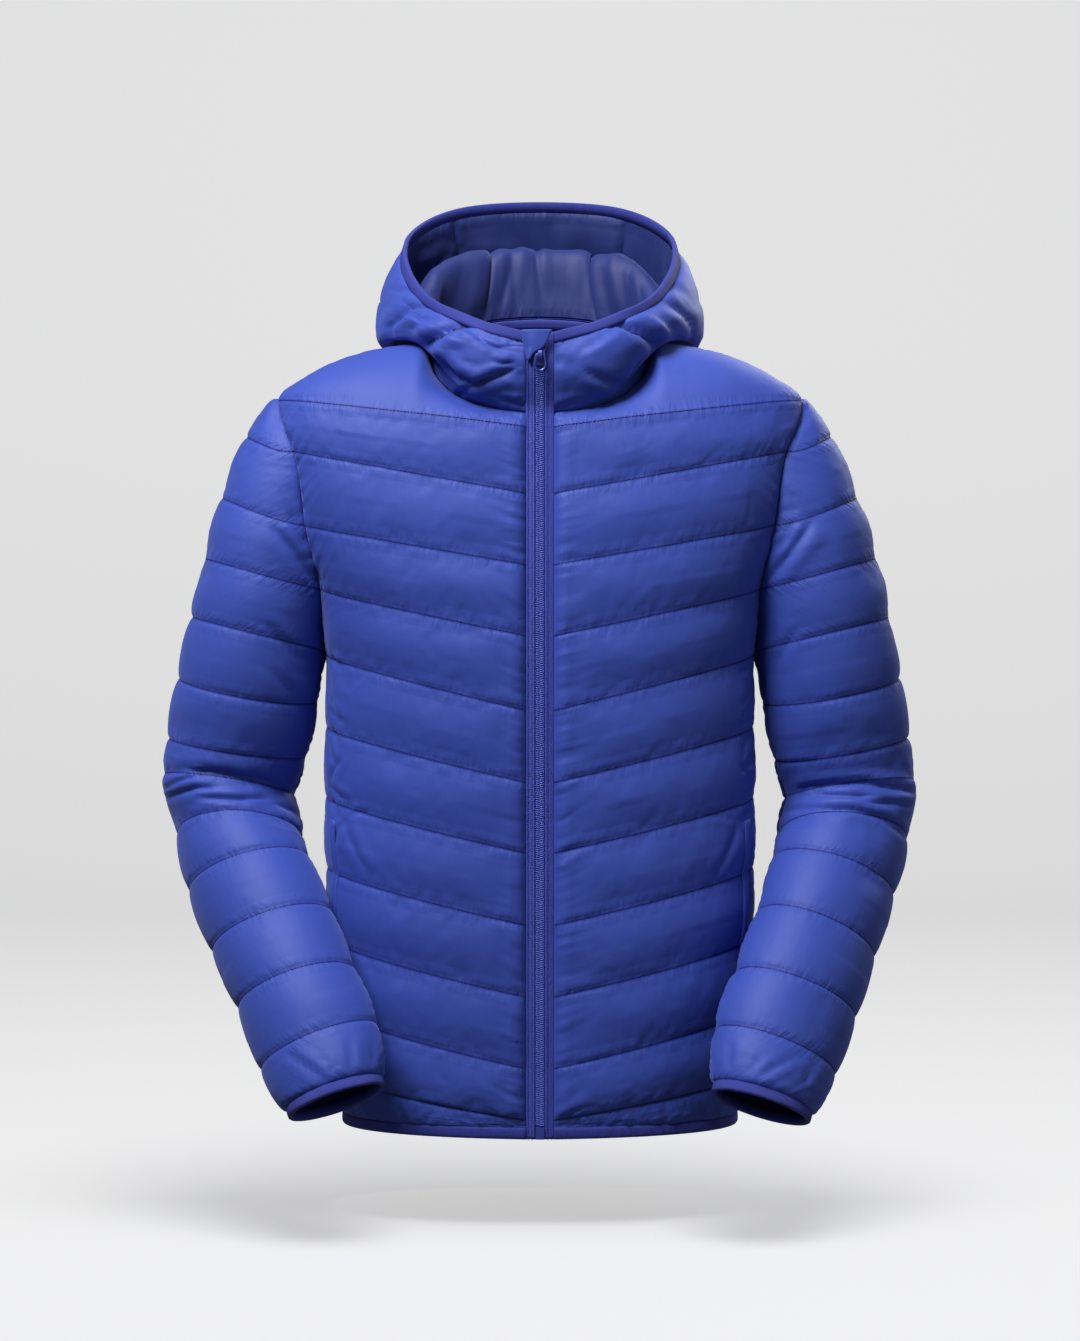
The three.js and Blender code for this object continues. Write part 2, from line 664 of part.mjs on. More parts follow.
function cuffBand(piece) {
  const around = piece.us.slice(0, -1);
  const stations = around.map((u) => edgeStation(piece.point, piece.normal, u, CUFF_LINE));
  const middle = stations.reduce((sum, s) => sum.add(s.on), vec(0, 0, 0)).normalize();
  for (const station of stations) station.on = middle;
  return band(stations, CUFF_OUT, true);
}
place("cuff_binding_right", cuffBand(sleeves.right), binding);
place("cuff_binding_left", cuffBand(sleeves.left), binding);

const down = vec(0, 0, -1);
function hemStations() {
  const fronts = FRONT_COLUMNS.slice(0, -1);
  const left = fronts.map((u) => [frontLeft, u]).reverse();
  const right = fronts.map((u) => [frontRight, u]);
  const behind = backPiece.us.map((u) => [backPiece, u]);
  return [...right, ...behind, ...left].map(([piece, u]) => {
    const at = piece.point(u, HEM_LINE).addScaledVector(down, SEAM_GAP);
    return { at, on: down, away: piece.normal(u, HEM_LINE).setZ(0).normalize() };
  });
}
place("hem_binding", band(hemStations(), BAND_OUT, false), binding);

// Zip

const TAPE_THICK = 1.6;
const CHAIN_OUT = 1.2; // the teeth stand this far in front of the tapes

function zipPath() {
  const body = rowsBetween(counting(0, HEM_LINE), [0, 0.5]).reverse();
  const path = body.map((v) => frontLeft.point(0, v)).slice(0, -1);
  path[0].z -= BAND_HEIGHT;
  const collar = counting(0, RIM).map((t) => hoodPoint(1, t));
  collar.push(collar.at(-1).clone().setZ(collar.at(-1).z + BAND_HEIGHT));
  return [...path, ...collar];
}

// A strip between two distances from the middle, out and back from the path by so much.
function zipStrip(path, near, far, out, back) {
  const shell = new Shell();
  const rows = path.map((p, i) => {
    const on = (path[i + 1] ?? p).clone().sub(path[i - 1] ?? p);
    const away = vec(0, -on.z, on.y).normalize();
    const corner = (x, off) => shell.add(vec(x, p.y + away.y * off, p.z + away.z * off));
    return [corner(near, out), corner(far, out), corner(far, -back), corner(near, -back)];
  });
  shell.grid(rows.map((row) => [...row, row[0]]), false);
  const [a, b, c, d] = rows[0];
  shell.face(c, b, a);
  shell.face(d, c, a);
  const [e, f, g, h] = rows.at(-1);
  shell.face(e, f, g);
  shell.face(e, g, h);
  return shell.geometry();
}

const zipLine = zipPath();
const tapeNear = CHAIN_HALF + SEAM_GAP;
place("zip_tape_left", zipStrip(zipLine, tapeNear, TAPE_HALF, 0, TAPE_THICK), binding);
place("zip_tape_right", zipStrip(zipLine, -TAPE_HALF, -tapeNear, 0, TAPE_THICK), binding);
const BOX_TALL = 10;
const chainLine = zipLine.slice(1);
chainLine.unshift(zipLine[0].clone().setZ(zipLine[0].z + BOX_TALL + 3 * SEAM_GAP));
place("zip_chain", zipStrip(chainLine, -CHAIN_HALF, CHAIN_HALF, CHAIN_OUT, TAPE_THICK), binding);

function block(wide, deep, tall, x, y, z) {
  const geometry = new THREE.BoxGeometry(wide, deep, tall);
  return mergeVertices(geometry.deleteAttribute("uv").deleteAttribute("normal")).translate(x, y, z);
}
const BOX_WIDE = 7.6;
const BOX_DEEP = 4.4;
const BOX_FORWARD = 0.4;
const [boxY, boxZ] = [zipLine[0].y - BOX_FORWARD, zipLine[0].z + BOX_TALL / 2];
place("zip_box", block(BOX_WIDE, BOX_DEEP, BOX_TALL, 0, boxY, boxZ), metal);

// Two matching grids of points, closed round their edges.
function slab(outside, inside) {
  const shell = new Shell();
  const outer = outside.map((row) => row.map((p) => shell.add(p)));
  const inner = inside.map((row) => row.map((p) => shell.add(p)));
  shell.grid(outer, false);
  shell.grid(inner, true);
  const listed = (numbers) => numbers.map((number, i) => [i, number]);
  const side = (rows, c) => listed(rows.map((row) => row.at(c)));
  shell.strip(listed(outer[0]), listed(inner[0]), false);
  shell.strip(listed(outer.at(-1)), listed(inner.at(-1)), true);
  shell.strip(side(outer, 0), side(inner, 0), true);
  shell.strip(side(outer, -1), side(inner, -1), false);
  return shell.geometry();
}

const ZIP_TOP_Y = -102.2; // the tapes' front face, from the collar's middle up
const SLIDER_Z = -14;
const SLIDER_HALF = 4.5;
const SLIDER_TALL = 14;
const sliderBack = ZIP_TOP_Y - CHAIN_OUT - SEAM_GAP;
const PLATE_DEEP = 2.2;
const plateFront = sliderBack - PLATE_DEEP;
const BRIDGE_HALF = 1.5;
const HINGE_Z = -12.5;
const HINGE_Y = plateFront - 2.1;

// The bridge's side view, and the hole in it that the pull hangs in. Each row says how
// far in front of the slider's plate a corner is, and its height.
const BRIDGE_CORNERS = named("front z", [
  [-0.6, -19],
  [2.2, -17.5],
  [4.4, -14.5],
  [4.4, -11],
  [3, -9],
  [-0.6, -9],
]);
const HOLE_CORNERS = named("front z", [
  [0.7, -15],
  [0.7, -10.6],
  [3.4, -10.6],
  [3.4, -14],
]);
function bridgeOutline() {
  const corners = (rows) => rows.map(({ front, z }) => new THREE.Vector2(plateFront - front, z));
  const shape = new THREE.Shape(corners(BRIDGE_CORNERS));
  shape.holes.push(new THREE.Path(corners(HOLE_CORNERS)));
  return shape;
}

const wasm = await ManifoldModule();
wasm.setup();

function solidOf(geometry) {
  const plain = geometry.clone();
  for (const name of ["uv", "normal"]) plain.deleteAttribute(name);
  const merged = mergeVertices(plain, 1e-4);
  const triVerts = Uint32Array.from(merged.index.array);
  const vertProperties = Float32Array.from(merged.attributes.position.array);
  return new wasm.Manifold(new wasm.Mesh({ numProp: 3, vertProperties, triVerts }));
}

function slider() {
  const options = { depth: 2 * BRIDGE_HALF, bevelEnabled: false };
  const bridge = new THREE.ExtrudeGeometry(bridgeOutline(), options);
  // The outline is drawn with y across and z up, so it is turned to stand.
  const turn = new THREE.Matrix4().set(0, 0, 1, -BRIDGE_HALF, 1, 0, 0, 0, 0, 1, 0, 0, 0, 0, 0, 1);
  bridge.applyMatrix4(turn);
  const plateY = sliderBack - PLATE_DEEP / 2;
  const plate = block(2 * SLIDER_HALF, PLATE_DEEP, SLIDER_TALL, 0, plateY, SLIDER_Z);
  const joined = solidOf(plate).add(solidOf(bridge)).getMesh();
  const geometry = new THREE.BufferGeometry();
  geometry.setAttribute("position", new THREE.BufferAttribute(joined.vertProperties, 3));
  geometry.setIndex([...joined.triVerts]);
  return geometry;
}
place("zip_slider", slider(), metal);

// The pull is one teardrop of wire; its straight top lies in the bridge's hole.
const PULL_WIRE = 0.75; // radius
const PULL_STEPS = 40;
const PULL_FACETS = 6;
const PULL_OUTLINE = named("x down", [
  [-3, 0],
  [0, 0],
  [3, 0],
  [4.3, 4],
  [4.9, 8.5],
  [3.2, 12.2],
  [0, 13.4],
  [-3.2, 12.2],
  [-4.9, 8.5],
  [-4.3, 4],
]);
function pull() {
  const places = PULL_OUTLINE.map(({ x, down: drop }) => vec(x, HINGE_Y, HINGE_Z - drop));
  const curve = new THREE.CatmullRomCurve3(places, true, "centripetal");
  const wire = new THREE.TubeGeometry(curve, PULL_STEPS, PULL_WIRE, PULL_FACETS, true);
  for (const name of ["uv", "normal"]) wire.deleteAttribute(name);
  return mergeVertices(wire, 1e-3);
}
place("zip_pull", pull(), metal);

// The garage: a folded tab from the inside facing, over the top end of the zip.
const GARAGE_ROWS = named("z left middle right", [
  [9, -16, -3, 10],
  [3, -15.4, -4, 7.6],
  [-3, -14.3, -5, 4.4],
  [-6.5, -13.4, -6, 1.5],
  [-10, -12.4, -8.4, -4.9],
  [-16, -11, -9.8, -8.8],
]);
const GARAGE_THICK = 1.2;
const garageRoot = ZIP_TOP_Y - CHAIN_OUT;
const garageOver = plateFront - 0.5;
function garage(out) {
  return GARAGE_ROWS.map(({ z, left, middle, right }) => [
    vec(left, garageRoot - out, z),
    vec(middle, garageOver - out, z),
    vec(right, garageOver - out, z),
  ]);
}
place("zip_garage", slab(garage(GARAGE_THICK), garage(0)), cloth);

// A pocket's welt lies on the front, so it is made from the front's own points.
const WELT_LINES = [7.25, 7.75, 8, 8.25, 8.75, 9, 9.25, 9.75];
const WELT_THICK = 1.2;
const WELT_EDGES = [0.72, 0.76];
function pocketWelt(piece) {
  const lifted = (extra) =>
    WELT_LINES.map((v) =>
      WELT_EDGES.map((u) => {
        const normal = piece.normal(u, v);
        return piece.point(u, v).addScaledVector(normal, rise(piece, u, v) + extra);
      }),
    );
  return slab(lifted(SEAM_GAP + WELT_THICK), lifted(SEAM_GAP));
}
place("pocket_welt_right", pocketWelt(frontRight), cloth);
place("pocket_welt_left", pocketWelt(frontLeft), cloth);

// The tape that covers the back neck seam inside.
const NECK_TAPE_TALL = 9;
const NECK_TAPE_THICK = 1;
const NECK_TAPE_FROM = 0.5;
function neckTape() {
  const us = bothSides(BACK_COLUMNS.filter((u) => u <= NECK_AT / 2));
  const inside = (u, v) => backPiece.point(u, v).addScaledVector(backPiece.normal(u, v), -WALL);
  const row = (drop, depth) =>
    us.map((u) => {
      const top = inside(u, 0);
      const on = inside(u, 1).sub(top).normalize();
      return top.addScaledVector(on, drop).addScaledVector(backPiece.normal(u, 0), -depth);
    });
  const facing = (depth) => [row(NECK_TAPE_FROM, depth), row(NECK_TAPE_TALL, depth)];
  return slab(facing(3 * SEAM_GAP), facing(3 * SEAM_GAP + NECK_TAPE_THICK));
}
place("neck_tape", neckTape(), binding);

export default group;
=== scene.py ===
# %% [markdown]
# # A quilted puffer jacket
# The solids give the jacket's size and place. Here each cut piece gets its real look.
# Lengths in the tables are millimetres; the scene is in metres, +Z up, front towards -Y.

import math

import bmesh
import bpy
import numpy as np
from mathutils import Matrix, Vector


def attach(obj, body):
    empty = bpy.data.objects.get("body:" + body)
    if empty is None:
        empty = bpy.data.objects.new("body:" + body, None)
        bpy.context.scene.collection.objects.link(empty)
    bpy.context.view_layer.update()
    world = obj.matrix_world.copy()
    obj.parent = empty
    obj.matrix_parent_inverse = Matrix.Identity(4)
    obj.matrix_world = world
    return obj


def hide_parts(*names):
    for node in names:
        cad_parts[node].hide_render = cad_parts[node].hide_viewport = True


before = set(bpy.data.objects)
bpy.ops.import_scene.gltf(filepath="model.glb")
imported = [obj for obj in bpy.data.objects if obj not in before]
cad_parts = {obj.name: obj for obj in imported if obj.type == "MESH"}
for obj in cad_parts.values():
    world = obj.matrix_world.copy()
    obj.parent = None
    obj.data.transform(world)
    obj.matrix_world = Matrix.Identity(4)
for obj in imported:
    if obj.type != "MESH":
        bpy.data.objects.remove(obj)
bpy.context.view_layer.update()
MM = 0.001

# %% [markdown]
# ## The cut of the jacket
# The same tables of sections as the solids', so that the cloth lies where its solids are.
# A row is one quilt line: its heights, its half width and its depth. That is how a pattern
# is graded, and it keeps the seams of two pieces on one line.

# %% Tables of sections
WALL = 2.4
ROUNDNESS = 2.4
ZIP_HALF = 12.0
NECK_AT = 0.28
BACK_NECK_SHARE = 0.45
HEM_LINE = 12
CUFF_LINE = 13
ARMPIT_LINE = 5
SLEEVE_JOINS = 4
BAND_HEIGHT = 9.0
CENTRE_STRIP = 0.225

# line, height at the zip, height at the outer end, half width, depth, turn at the outer end
FRONT_LINES = [
    (1, -75, -46, 234, 97, 78.7),
    (2, -133, -92, 242, 104, 60.3),
    (3, -194.5, -156.6, 228.5, 110, 61.1),
    (4, -255.7, -212, 202.4, 112, 70.4),
    (5, -320, -268, 188.5, 112, 90),
    (6, -381.5, -332, 188, 111, 90),
    (7, -442, -394, 187.5, 110, 90),
    (8, -504, -456, 186.5, 110, 90),
    (9, -565.5, -518, 185, 109, 90),
    (10, -627, -580, 182, 108, 90),
    (11, -671, -638, 178, 107.5, 90),
    (12, -677, -674, 174, 107, 90),
]
# line, height in the middle of the back, depth
BACK_LINES = [
    (1, -72, 88),
    (2, -125, 97),
    (3, -187, 101),
    (4, -247, 101),
    (5, -302, 99),
    (6, -364, 96),
    (7, -425, 95),
    (8, -486, 96),
    (9, -547, 98),
    (10, -608, 99),
    (11, -656, 99),
    (12, -677, 99),
]
# share of the way from the middle to the armhole, then x, y, z
FRONT_NECK = [
    (0, 12, -90, -61),
    (0.1, 48, -76, -54),
    (0.17, 75, -52, -42),
    (0.23, 94, -20, -20),
    (0.28, 102, 8, 10),
]
BACK_NECK = [
    (0, 0, 68, 38),
    (0.08, 30, 66, 36.5),
    (0.14, 52, 59, 33),
    (0.22, 84, 38, 24),
    (0.28, 102, 8, 10),
]
SHOULDER = [
    (0.28, 102, 8, 10),
    (0.45, 146, 7, 0),
    (0.62, 180, 5, -13),
    (0.8, 210, 2, -29.5),
    (1, 231, 0, -42),
]
# line, outer end x and z, inner end x and z, y, depth, lift of the front, turn
SLEEVE_RIGHT = [
    (1, 257, -78, 165, -136, 0, 58, 0, 90),
    (2, 278.6, -131.7, 170.6, -182.9, 0, 66, 0, 115),
    (3, 293.7, -185, 178, -219, 0, 69, 0, 140),
    (4, 305, -236.8, 193, -264, 0, 67, 0, 180),
    (5, 316.8, -290.2, 198.5, -311.5, 0, 63, -6, 180),
    (6, 327, -343.7, 210, -360.6, 5, 60, -3, 180),
    (7, 331, -376, 222.2, -393.7, 8, 58, 8, 180),
    (8, 318.1, -428.8, 214.1, -432.3, -5, 56, 24, 180),
    (9, 304.2, -475.9, 207, -449.5, -32, 54, 20, 180),
    (10, 280.5, -525.7, 184.5, -495.3, -70, 51, 20, 180),
    (11, 254.6, -570.8, 162.8, -541.6, -108, 48, 19, 180),
    (12, 233.1, -620.2, 141.4, -585.3, -140, 44, 17, 180),
    (13, 212.4, -652.1, 133.3, -625.2, -169, 37, 13, 180),
]
SLEEVE_LEFT = [
    (1, 255, -78, 165, -136, 0, 58, 0, 90),
    (2, 278, -131.7, 170.6, -182.9, 0, 66, 0, 115),
    (3, 294.5, -185, 178, -219, 0, 69, 0, 140),
    (4, 306.1, -236.8, 193, -264, 0, 67, 0, 180),
    (5, 315, -290.2, 198.5, -312.4, 0, 63, -6, 180),
    (6, 323.5, -343.7, 210.8, -363.3, 5, 60, -3, 180),
    (7, 329.2, -381.2, 221.3, -396.4, 8, 58, 8, 180),
    (8, 321.5, -434.1, 214.1, -429.7, -5, 56, 24, 180),
    (9, 306.3, -479.4, 208.7, -450.4, -32, 54, 20, 180),
    (10, 286, -531, 192.3, -495.3, -70, 51, 20, 180),
    (11, 266, -579.4, 169.6, -545, -108, 48, 19, 180),
    (12, 246.7, -624.4, 151.6, -589.6, -140, 44, 17, 180),
    (13, 227.3, -655.5, 146.8, -630.2, -169, 37, 13, 180),
]
# share of the way from the middle of the back (0) to the zip (1), then x, y, z
HOOD_ROLL = [
    (0, 0, 86, 93),
    (0.2, 42, 80, 92),
    (0.4, 84, 52, 82),
    (0.55, 104, 12, 46),
    (0.7, 89, -45, -7),
    (0.85, 61, -84, -37),
    (1, 12, -96, -46),
]
HOOD_BAG = [
    (0, 0, 124, -10),
    (0.2, 64, 116, -9),
    (0.4, 118, 82, 1),
    (0.55, 138, 32, 12),
    (0.7, 111, -31, 9),
    (0.85, 67, -91, -20),
    (1, 12, -101, -30),
]
HOOD_WALL = [
    (0, 0, 154, 60),
    (0.2, 68, 143, 60),
    (0.4, 124, 102, 56),
    (0.55, 142, 46, 45),
    (0.7, 116, -27, 27),
    (0.85, 66, -92, -2),
    (1, 12, -102, -15),
]
HOOD_RIM = [
    (0, 0, 136, 143),
    (0.2, 73.5, 125, 136),
    (0.4, 118, 88, 110),
    (0.55, 124, 30, 77),
    (0.7, 102, -38, 39),
    (0.85, 57, -86, 13),
    (1, 12, -100, -1),
]


def blend(a, b, slope_a, slope_b, t):
    """A smooth curve from a to b that leaves and arrives at the given slopes."""
    t2, t3 = t * t, t * t * t
    return (
        (2 * t3 - 3 * t2 + 1) * a
        + (t3 - 2 * t2 + t) * slope_a
        + (3 * t2 - 2 * t3) * b
        + (t3 - t2) * slope_b
    )


def through(rows, at):
    """A smooth curve through every column of a table, at places in its first column."""
    rows = np.asarray(rows, float)
    x, y, at = rows[:, 0], rows[:, 1:], np.asarray(at, float)
    i = np.clip(np.searchsorted(x, at, side="right") - 1, 0, len(x) - 2)
    before, after = np.maximum(i - 1, 0), np.minimum(i + 2, len(x) - 1)
    width = x[i + 1] - x[i]
    t = ((at - x[i]) / width)[..., None]
    slope_a = (y[i + 1] - y[before]) / (x[i + 1] - x[before])[..., None] * width[..., None]
    slope_b = (y[after] - y[i]) / (x[after] - x[i])[..., None] * width[..., None]
    return blend(y[i], y[i + 1], slope_a, slope_b, t)


def stack(x, y, z):
    return np.stack(np.broadcast_arrays(x, y, z), -1).astype(float)


# %% [markdown]
# ## The surfaces
# A piece is a surface of two places: u across it and v down it, counted in quilt lines.
# Points come out in millimetres, with the stitch lines on whole numbers of v.


# %% Surfaces of body, sleeve and hood
def body_row(u, line, is_back):
    middle, edge, half, deep, turn = np.moveaxis(through(FRONT_LINES, line), -1, 0)
    power = 2 / ROUNDNESS
    turn = np.radians(np.minimum(turn, 90))
    start = 0 if is_back else np.arcsin((ZIP_HALF / half) ** (1 / power))
    if is_back:
        middle, deep = np.moveaxis(through(BACK_LINES, line), -1, 0)
    else:
        deep = -deep
    angle = start + (turn - start) * u
    x = half * np.sin(angle) ** power
    share = 0.75 * x / (half * np.sin(turn) ** power) + 0.25 * u
    y = deep * np.maximum(np.cos(angle), 0) ** power
    return stack(x, y, middle + (edge - middle) * share)


def body_point(u, line, is_back):
    """Front or back: below the first line by its sections, above it over the shoulder."""
    u, line = np.broadcast_arrays(np.asarray(u, float), np.asarray(line, float))
    side = np.where(u < 0, -1.0, 1.0)
    u = np.abs(u)
    low = body_row(u, np.maximum(line, 1), is_back)
    neck = through(BACK_NECK if is_back else FRONT_NECK, np.minimum(u, NECK_AT))
    top = np.where((u > NECK_AT)[..., None], through(SHOULDER, np.maximum(u, NECK_AT)), neck)
    bend = top + (low - top) * np.array([0.5, 0.75, 0.2])
    t = np.minimum(line, 1)[..., None]
    point = (1 - t) ** 2 * top + 2 * t * (1 - t) * bend + t * t * low
    return point * stack(side, 1, 1)


def ring_point(table, u, line):
    got = np.moveaxis(through(table, np.maximum(line, 1)), -1, 0)
    out_x, out_z, in_x, in_z, y, deep, lift, turn = got
    angle = np.radians(np.minimum(turn, 180)) * u
    cos, sin = np.cos(angle), np.sin(angle)
    x = (out_x + in_x) / 2 + (out_x - in_x) / 2 * cos
    z = (out_z + in_z) / 2 + (out_z - in_z) / 2 * cos + lift * sin
    return stack(x, y - deep * sin, z)


def armhole(u, line):
    line = np.clip(line + ARMPIT_LINE - SLEEVE_JOINS, 0, ARMPIT_LINE)
    front, back = body_point(1, line, False), body_point(1, line, True)
    return np.where((u < 0)[..., None], back, front)


def sleeve_point(table, u, line):
    """A sleeve on the +X side. Its first four lines start and end on the armhole."""
    u, line = np.broadcast_arrays(np.asarray(u, float), np.asarray(line, float))
    side = np.where(u < 0, -1.0, 1.0)
    pull = (np.abs(u) ** 4)[..., None]
    joined = np.clip(line, 1, SLEEVE_JOINS)
    fix = (armhole(side, joined) - ring_point(table, side, joined)) * pull
    # Below the armpit the underarm seam eases back onto the ring within half a channel.
    ease = np.clip(1 - (line - SLEEVE_JOINS) / 0.5, 0, 1)[..., None]
    share = np.where(line[..., None] > SLEEVE_JOINS, ease, 1)
    point = ring_point(table, u, np.maximum(line, 1)) + fix * share
    behind, in_front = body_point(1, np.abs(u), True), body_point(1, np.abs(u), False)
    top = np.where((u < 0)[..., None], behind, in_front)
    t = np.clip(line, 0, 1)[..., None]
    start, end = armhole(side, 0 * line), armhole(side, 0 * line + 1)
    bulge = armhole(side, np.minimum(line, 1)) - start - (end - start) * t
    cap = top + (point - top) * t + bulge * pull
    return np.where((line < 1)[..., None], cap, point)


def loop(rows, w):
    mirror = [(-row[0], -row[1], row[2], row[3]) for row in rows[:0:-1]]
    return through(mirror + list(rows), np.abs(w))


def neck_seam(w):
    at = np.abs(w)
    back = through(BACK_NECK, NECK_AT * np.minimum(at / BACK_NECK_SHARE, 1))
    front_at = NECK_AT * np.clip((1 - at) / (1 - BACK_NECK_SHARE), 0, 1)
    return np.where((at <= BACK_NECK_SHARE)[..., None], back, through(FRONT_NECK, front_at))


def hood_point(w, t):
    """The hood from the neck seam (t 0) over the roll and round the bag to the rim (t 4)."""
    w, t = np.broadcast_arrays(np.asarray(w, float), np.clip(np.asarray(t, float), 0, 4))
    tables = (HOOD_ROLL, HOOD_BAG, HOOD_WALL, HOOD_RIM)
    loops = np.stack([neck_seam(w)] + [loop(rows, w) for rows in tables])
    i = np.minimum(t.astype(int), 3)

    def pick(k):
        chosen = np.broadcast_to(k[None, ..., None], (1,) + k.shape + (3,))
        return np.take_along_axis(loops, chosen, 0)[0]

    a, b = pick(i), pick(i + 1)
    before, after = pick(np.maximum(i - 1, 0)), pick(np.minimum(i + 2, 4))
    slope_a = (b - before) / np.where(i > 0, 2, 1)[..., None]
    slope_b = (after - a) / np.where(i < 3, 2, 1)[..., None]
    point = blend(a, b, slope_a, slope_b, (t - i)[..., None])
    return point * stack(np.where(w < 0, -1.0, 1.0), 1, 1)


# %% [markdown]
# ## Quilting by simulation
# Each piece starts as smooth cloth on its surface, stitch lines and edges pinned. The cloth
# is cut a little larger than the space between them and is blown outwards, as wadding does in
# the real jacket. Its settled height is smoothed and given a channel's round section. Then
# come the gathers along the seams, and the creases that are placed one by one.

# %% Helpers for quilted pieces
SEED = 7
CLOTH_STEP = 5.5
MAX_PROUD = 12.0
FIRST_RISE = 8.0
FULL_CHANNEL = 42.0
PRESSURE = 4.0
GROWTH = 0.02
FRAMES = 16
PROFILE_POWER = 0.5
# How much of the cloth's sideways drift is kept, and the thinnest section it is measured on.
DRIFT_SHARE = 0.8
THIN_PROFILE = 0.3
LEAST_LOFT = 0.12
ROUGHNESS_SHARE = 0.04
ROUGHNESS_CELL = (5, 5)
FLIP = np.array([-1.0, 1, 1])


def spaced(places, spacing_of):
    """Each stretch of a list of places is cut into steps of about CLOTH_STEP."""
    out = []
    for a, b in zip(places[:-1], places[1:]):
        count = max(2, int(round(spacing_of(a, b) / CLOTH_STEP)))
        out += [a + (b - a) * k / count for k in range(count)]
    return np.array(out + [places[-1]])


def normals_of(grid, outward):
    du, dv = np.gradient(grid, axis=1), np.gradient(grid, axis=0)
    normal = np.cross(du, dv)
    normal /= np.maximum(np.linalg.norm(normal, axis=-1, keepdims=True), 1e-9)
    return normal * outward


def new_object(name, data):
    obj = bpy.data.objects.new(name, data)
    bpy.context.scene.collection.objects.link(obj)
    return obj


def add_mesh(name, points, faces):
    """A smooth-shaded mesh from points in mm."""
    mesh = bpy.data.meshes.new(name)
    mesh.from_pydata((np.asarray(points) * MM).tolist(), [], faces)
    mesh.update()
    mesh.polygons.foreach_set("use_smooth", [True] * len(faces))
    return new_object(name, mesh)


def add_vectors(obj, label, vectors):
    """Stores one vector for each of the object's points."""
    attribute = obj.data.attributes.new(label, "FLOAT_VECTOR", "POINT")
    attribute.data.foreach_set("vector", np.asarray(vectors, np.float32).ravel())


def grid_faces(rows, columns, turned=False, first=0):
    faces = []
    for r in range(rows - 1):
        for c in range(columns - 1):
            a = first + r * columns + c
            quad = (a, a + 1, a + columns + 1, a + columns)
            faces.append(quad[::-1] if turned else quad)
    return faces


def grid_border(rows, columns):
    """The places round the edge of a grid, once round."""
    border = [(0, c) for c in range(columns)] + [(r, columns - 1) for r in range(1, rows)]
    border += [(rows - 1, c) for c in range(columns - 2, -1, -1)]
    return border + [(r, 0) for r in range(rows - 2, 0, -1)]


def soft_step(f):
    return f * f * (3 - 2 * f)


def smooth_noise(shape, cell, seed):
    """Soft random hills, one about every cell points, between -1 and 1."""
    rng = np.random.default_rng(seed)
    coarse = rng.uniform(-1, 1, [int(n / c) + 3 for n, c in zip(shape, cell)])
    out = coarse
    for axis, (n, c) in enumerate(zip(shape, cell)):
        at = np.arange(n) / c
        i = at.astype(int)
        f = soft_step(at - i)
        low, high = np.take(out, i, axis), np.take(out, i + 1, axis)
        f = f.reshape([-1 if k == axis else 1 for k in range(2)])
        out = low + (high - low) * f
    return out


def settle(name, start, pinned, outward):
    """Blows the cloth up between its pinned stitches and gives the settled points, in mm."""
    rows, columns = start.shape[:2]
    turned = outward < 0
    obj = add_mesh(name + "_cloth", start.reshape(-1, 3), grid_faces(rows, columns, turned))
    group = obj.vertex_groups.new(name="pin")
    for k in np.flatnonzero(pinned.reshape(-1)):
        group.add([int(k)], 1.0, "REPLACE")
    cloth = obj.modifiers.new("cloth", "CLOTH")
    s = cloth.settings
    s.vertex_group_mass = "pin"
    s.quality = 5
    s.mass = 0.15
    s.tension_stiffness = s.compression_stiffness = 12
    s.shear_stiffness = 4
    s.bending_stiffness = 0.05
    s.tension_damping = s.compression_damping = s.shear_damping = 8
    s.air_damping = 3
    s.use_pressure = True
    s.uniform_pressure_force = PRESSURE
    s.shrink_min = -GROWTH
    s.effector_weights.gravity = 0
    cloth.collision_settings.use_collision = False
    cloth.collision_settings.use_self_collision = False
    cloth.point_cache.frame_start = 1
    cloth.point_cache.frame_end = FRAMES
    scene = bpy.context.scene
    for k in range(1, FRAMES + 1):
        scene.frame_set(k)
    graph = bpy.context.evaluated_depsgraph_get()
    mesh = obj.evaluated_get(graph).to_mesh()
    out = np.empty(len(mesh.vertices) * 3)
    mesh.vertices.foreach_get("co", out)
    obj.evaluated_get(graph).to_mesh_clear()
    bpy.data.objects.remove(obj)
    scene.frame_set(1)
    return out.reshape(rows, columns, 3) / MM


def finer(grid):
    """Doubles a grid's rows and columns along smooth curves."""
    for axis in (0, 1):
        g = np.moveaxis(grid, axis, 0)
        padded = np.concatenate([2 * g[:1] - g[1:2], g, 2 * g[-1:] - g[-2:-1]])
        half = (-padded[:-3] + 9 * padded[1:-2] + 9 * padded[2:-1] - padded[3:]) / 16
        out = np.empty((2 * len(g) - 1,) + g.shape[1:])
        out[::2], out[1::2] = g, half
        grid = np.moveaxis(out, 0, axis)
    return grid


def channel_share(v, stitches):
    """For each row: its share of the way from the stitch line above to the one below."""
    stitches = np.asarray(stitches, float)
    number = np.clip(np.searchsorted(stitches, v + 1e-6, side="right") - 1, 0, len(stitches) - 2)
    return (v - stitches[number]) / (stitches[number + 1] - stitches[number]), number


def pillow(share):
    """A channel's section: steep at its two stitch lines and round between them."""
    return np.clip(4 * share * (1 - share), 0, 1) ** PROFILE_POWER


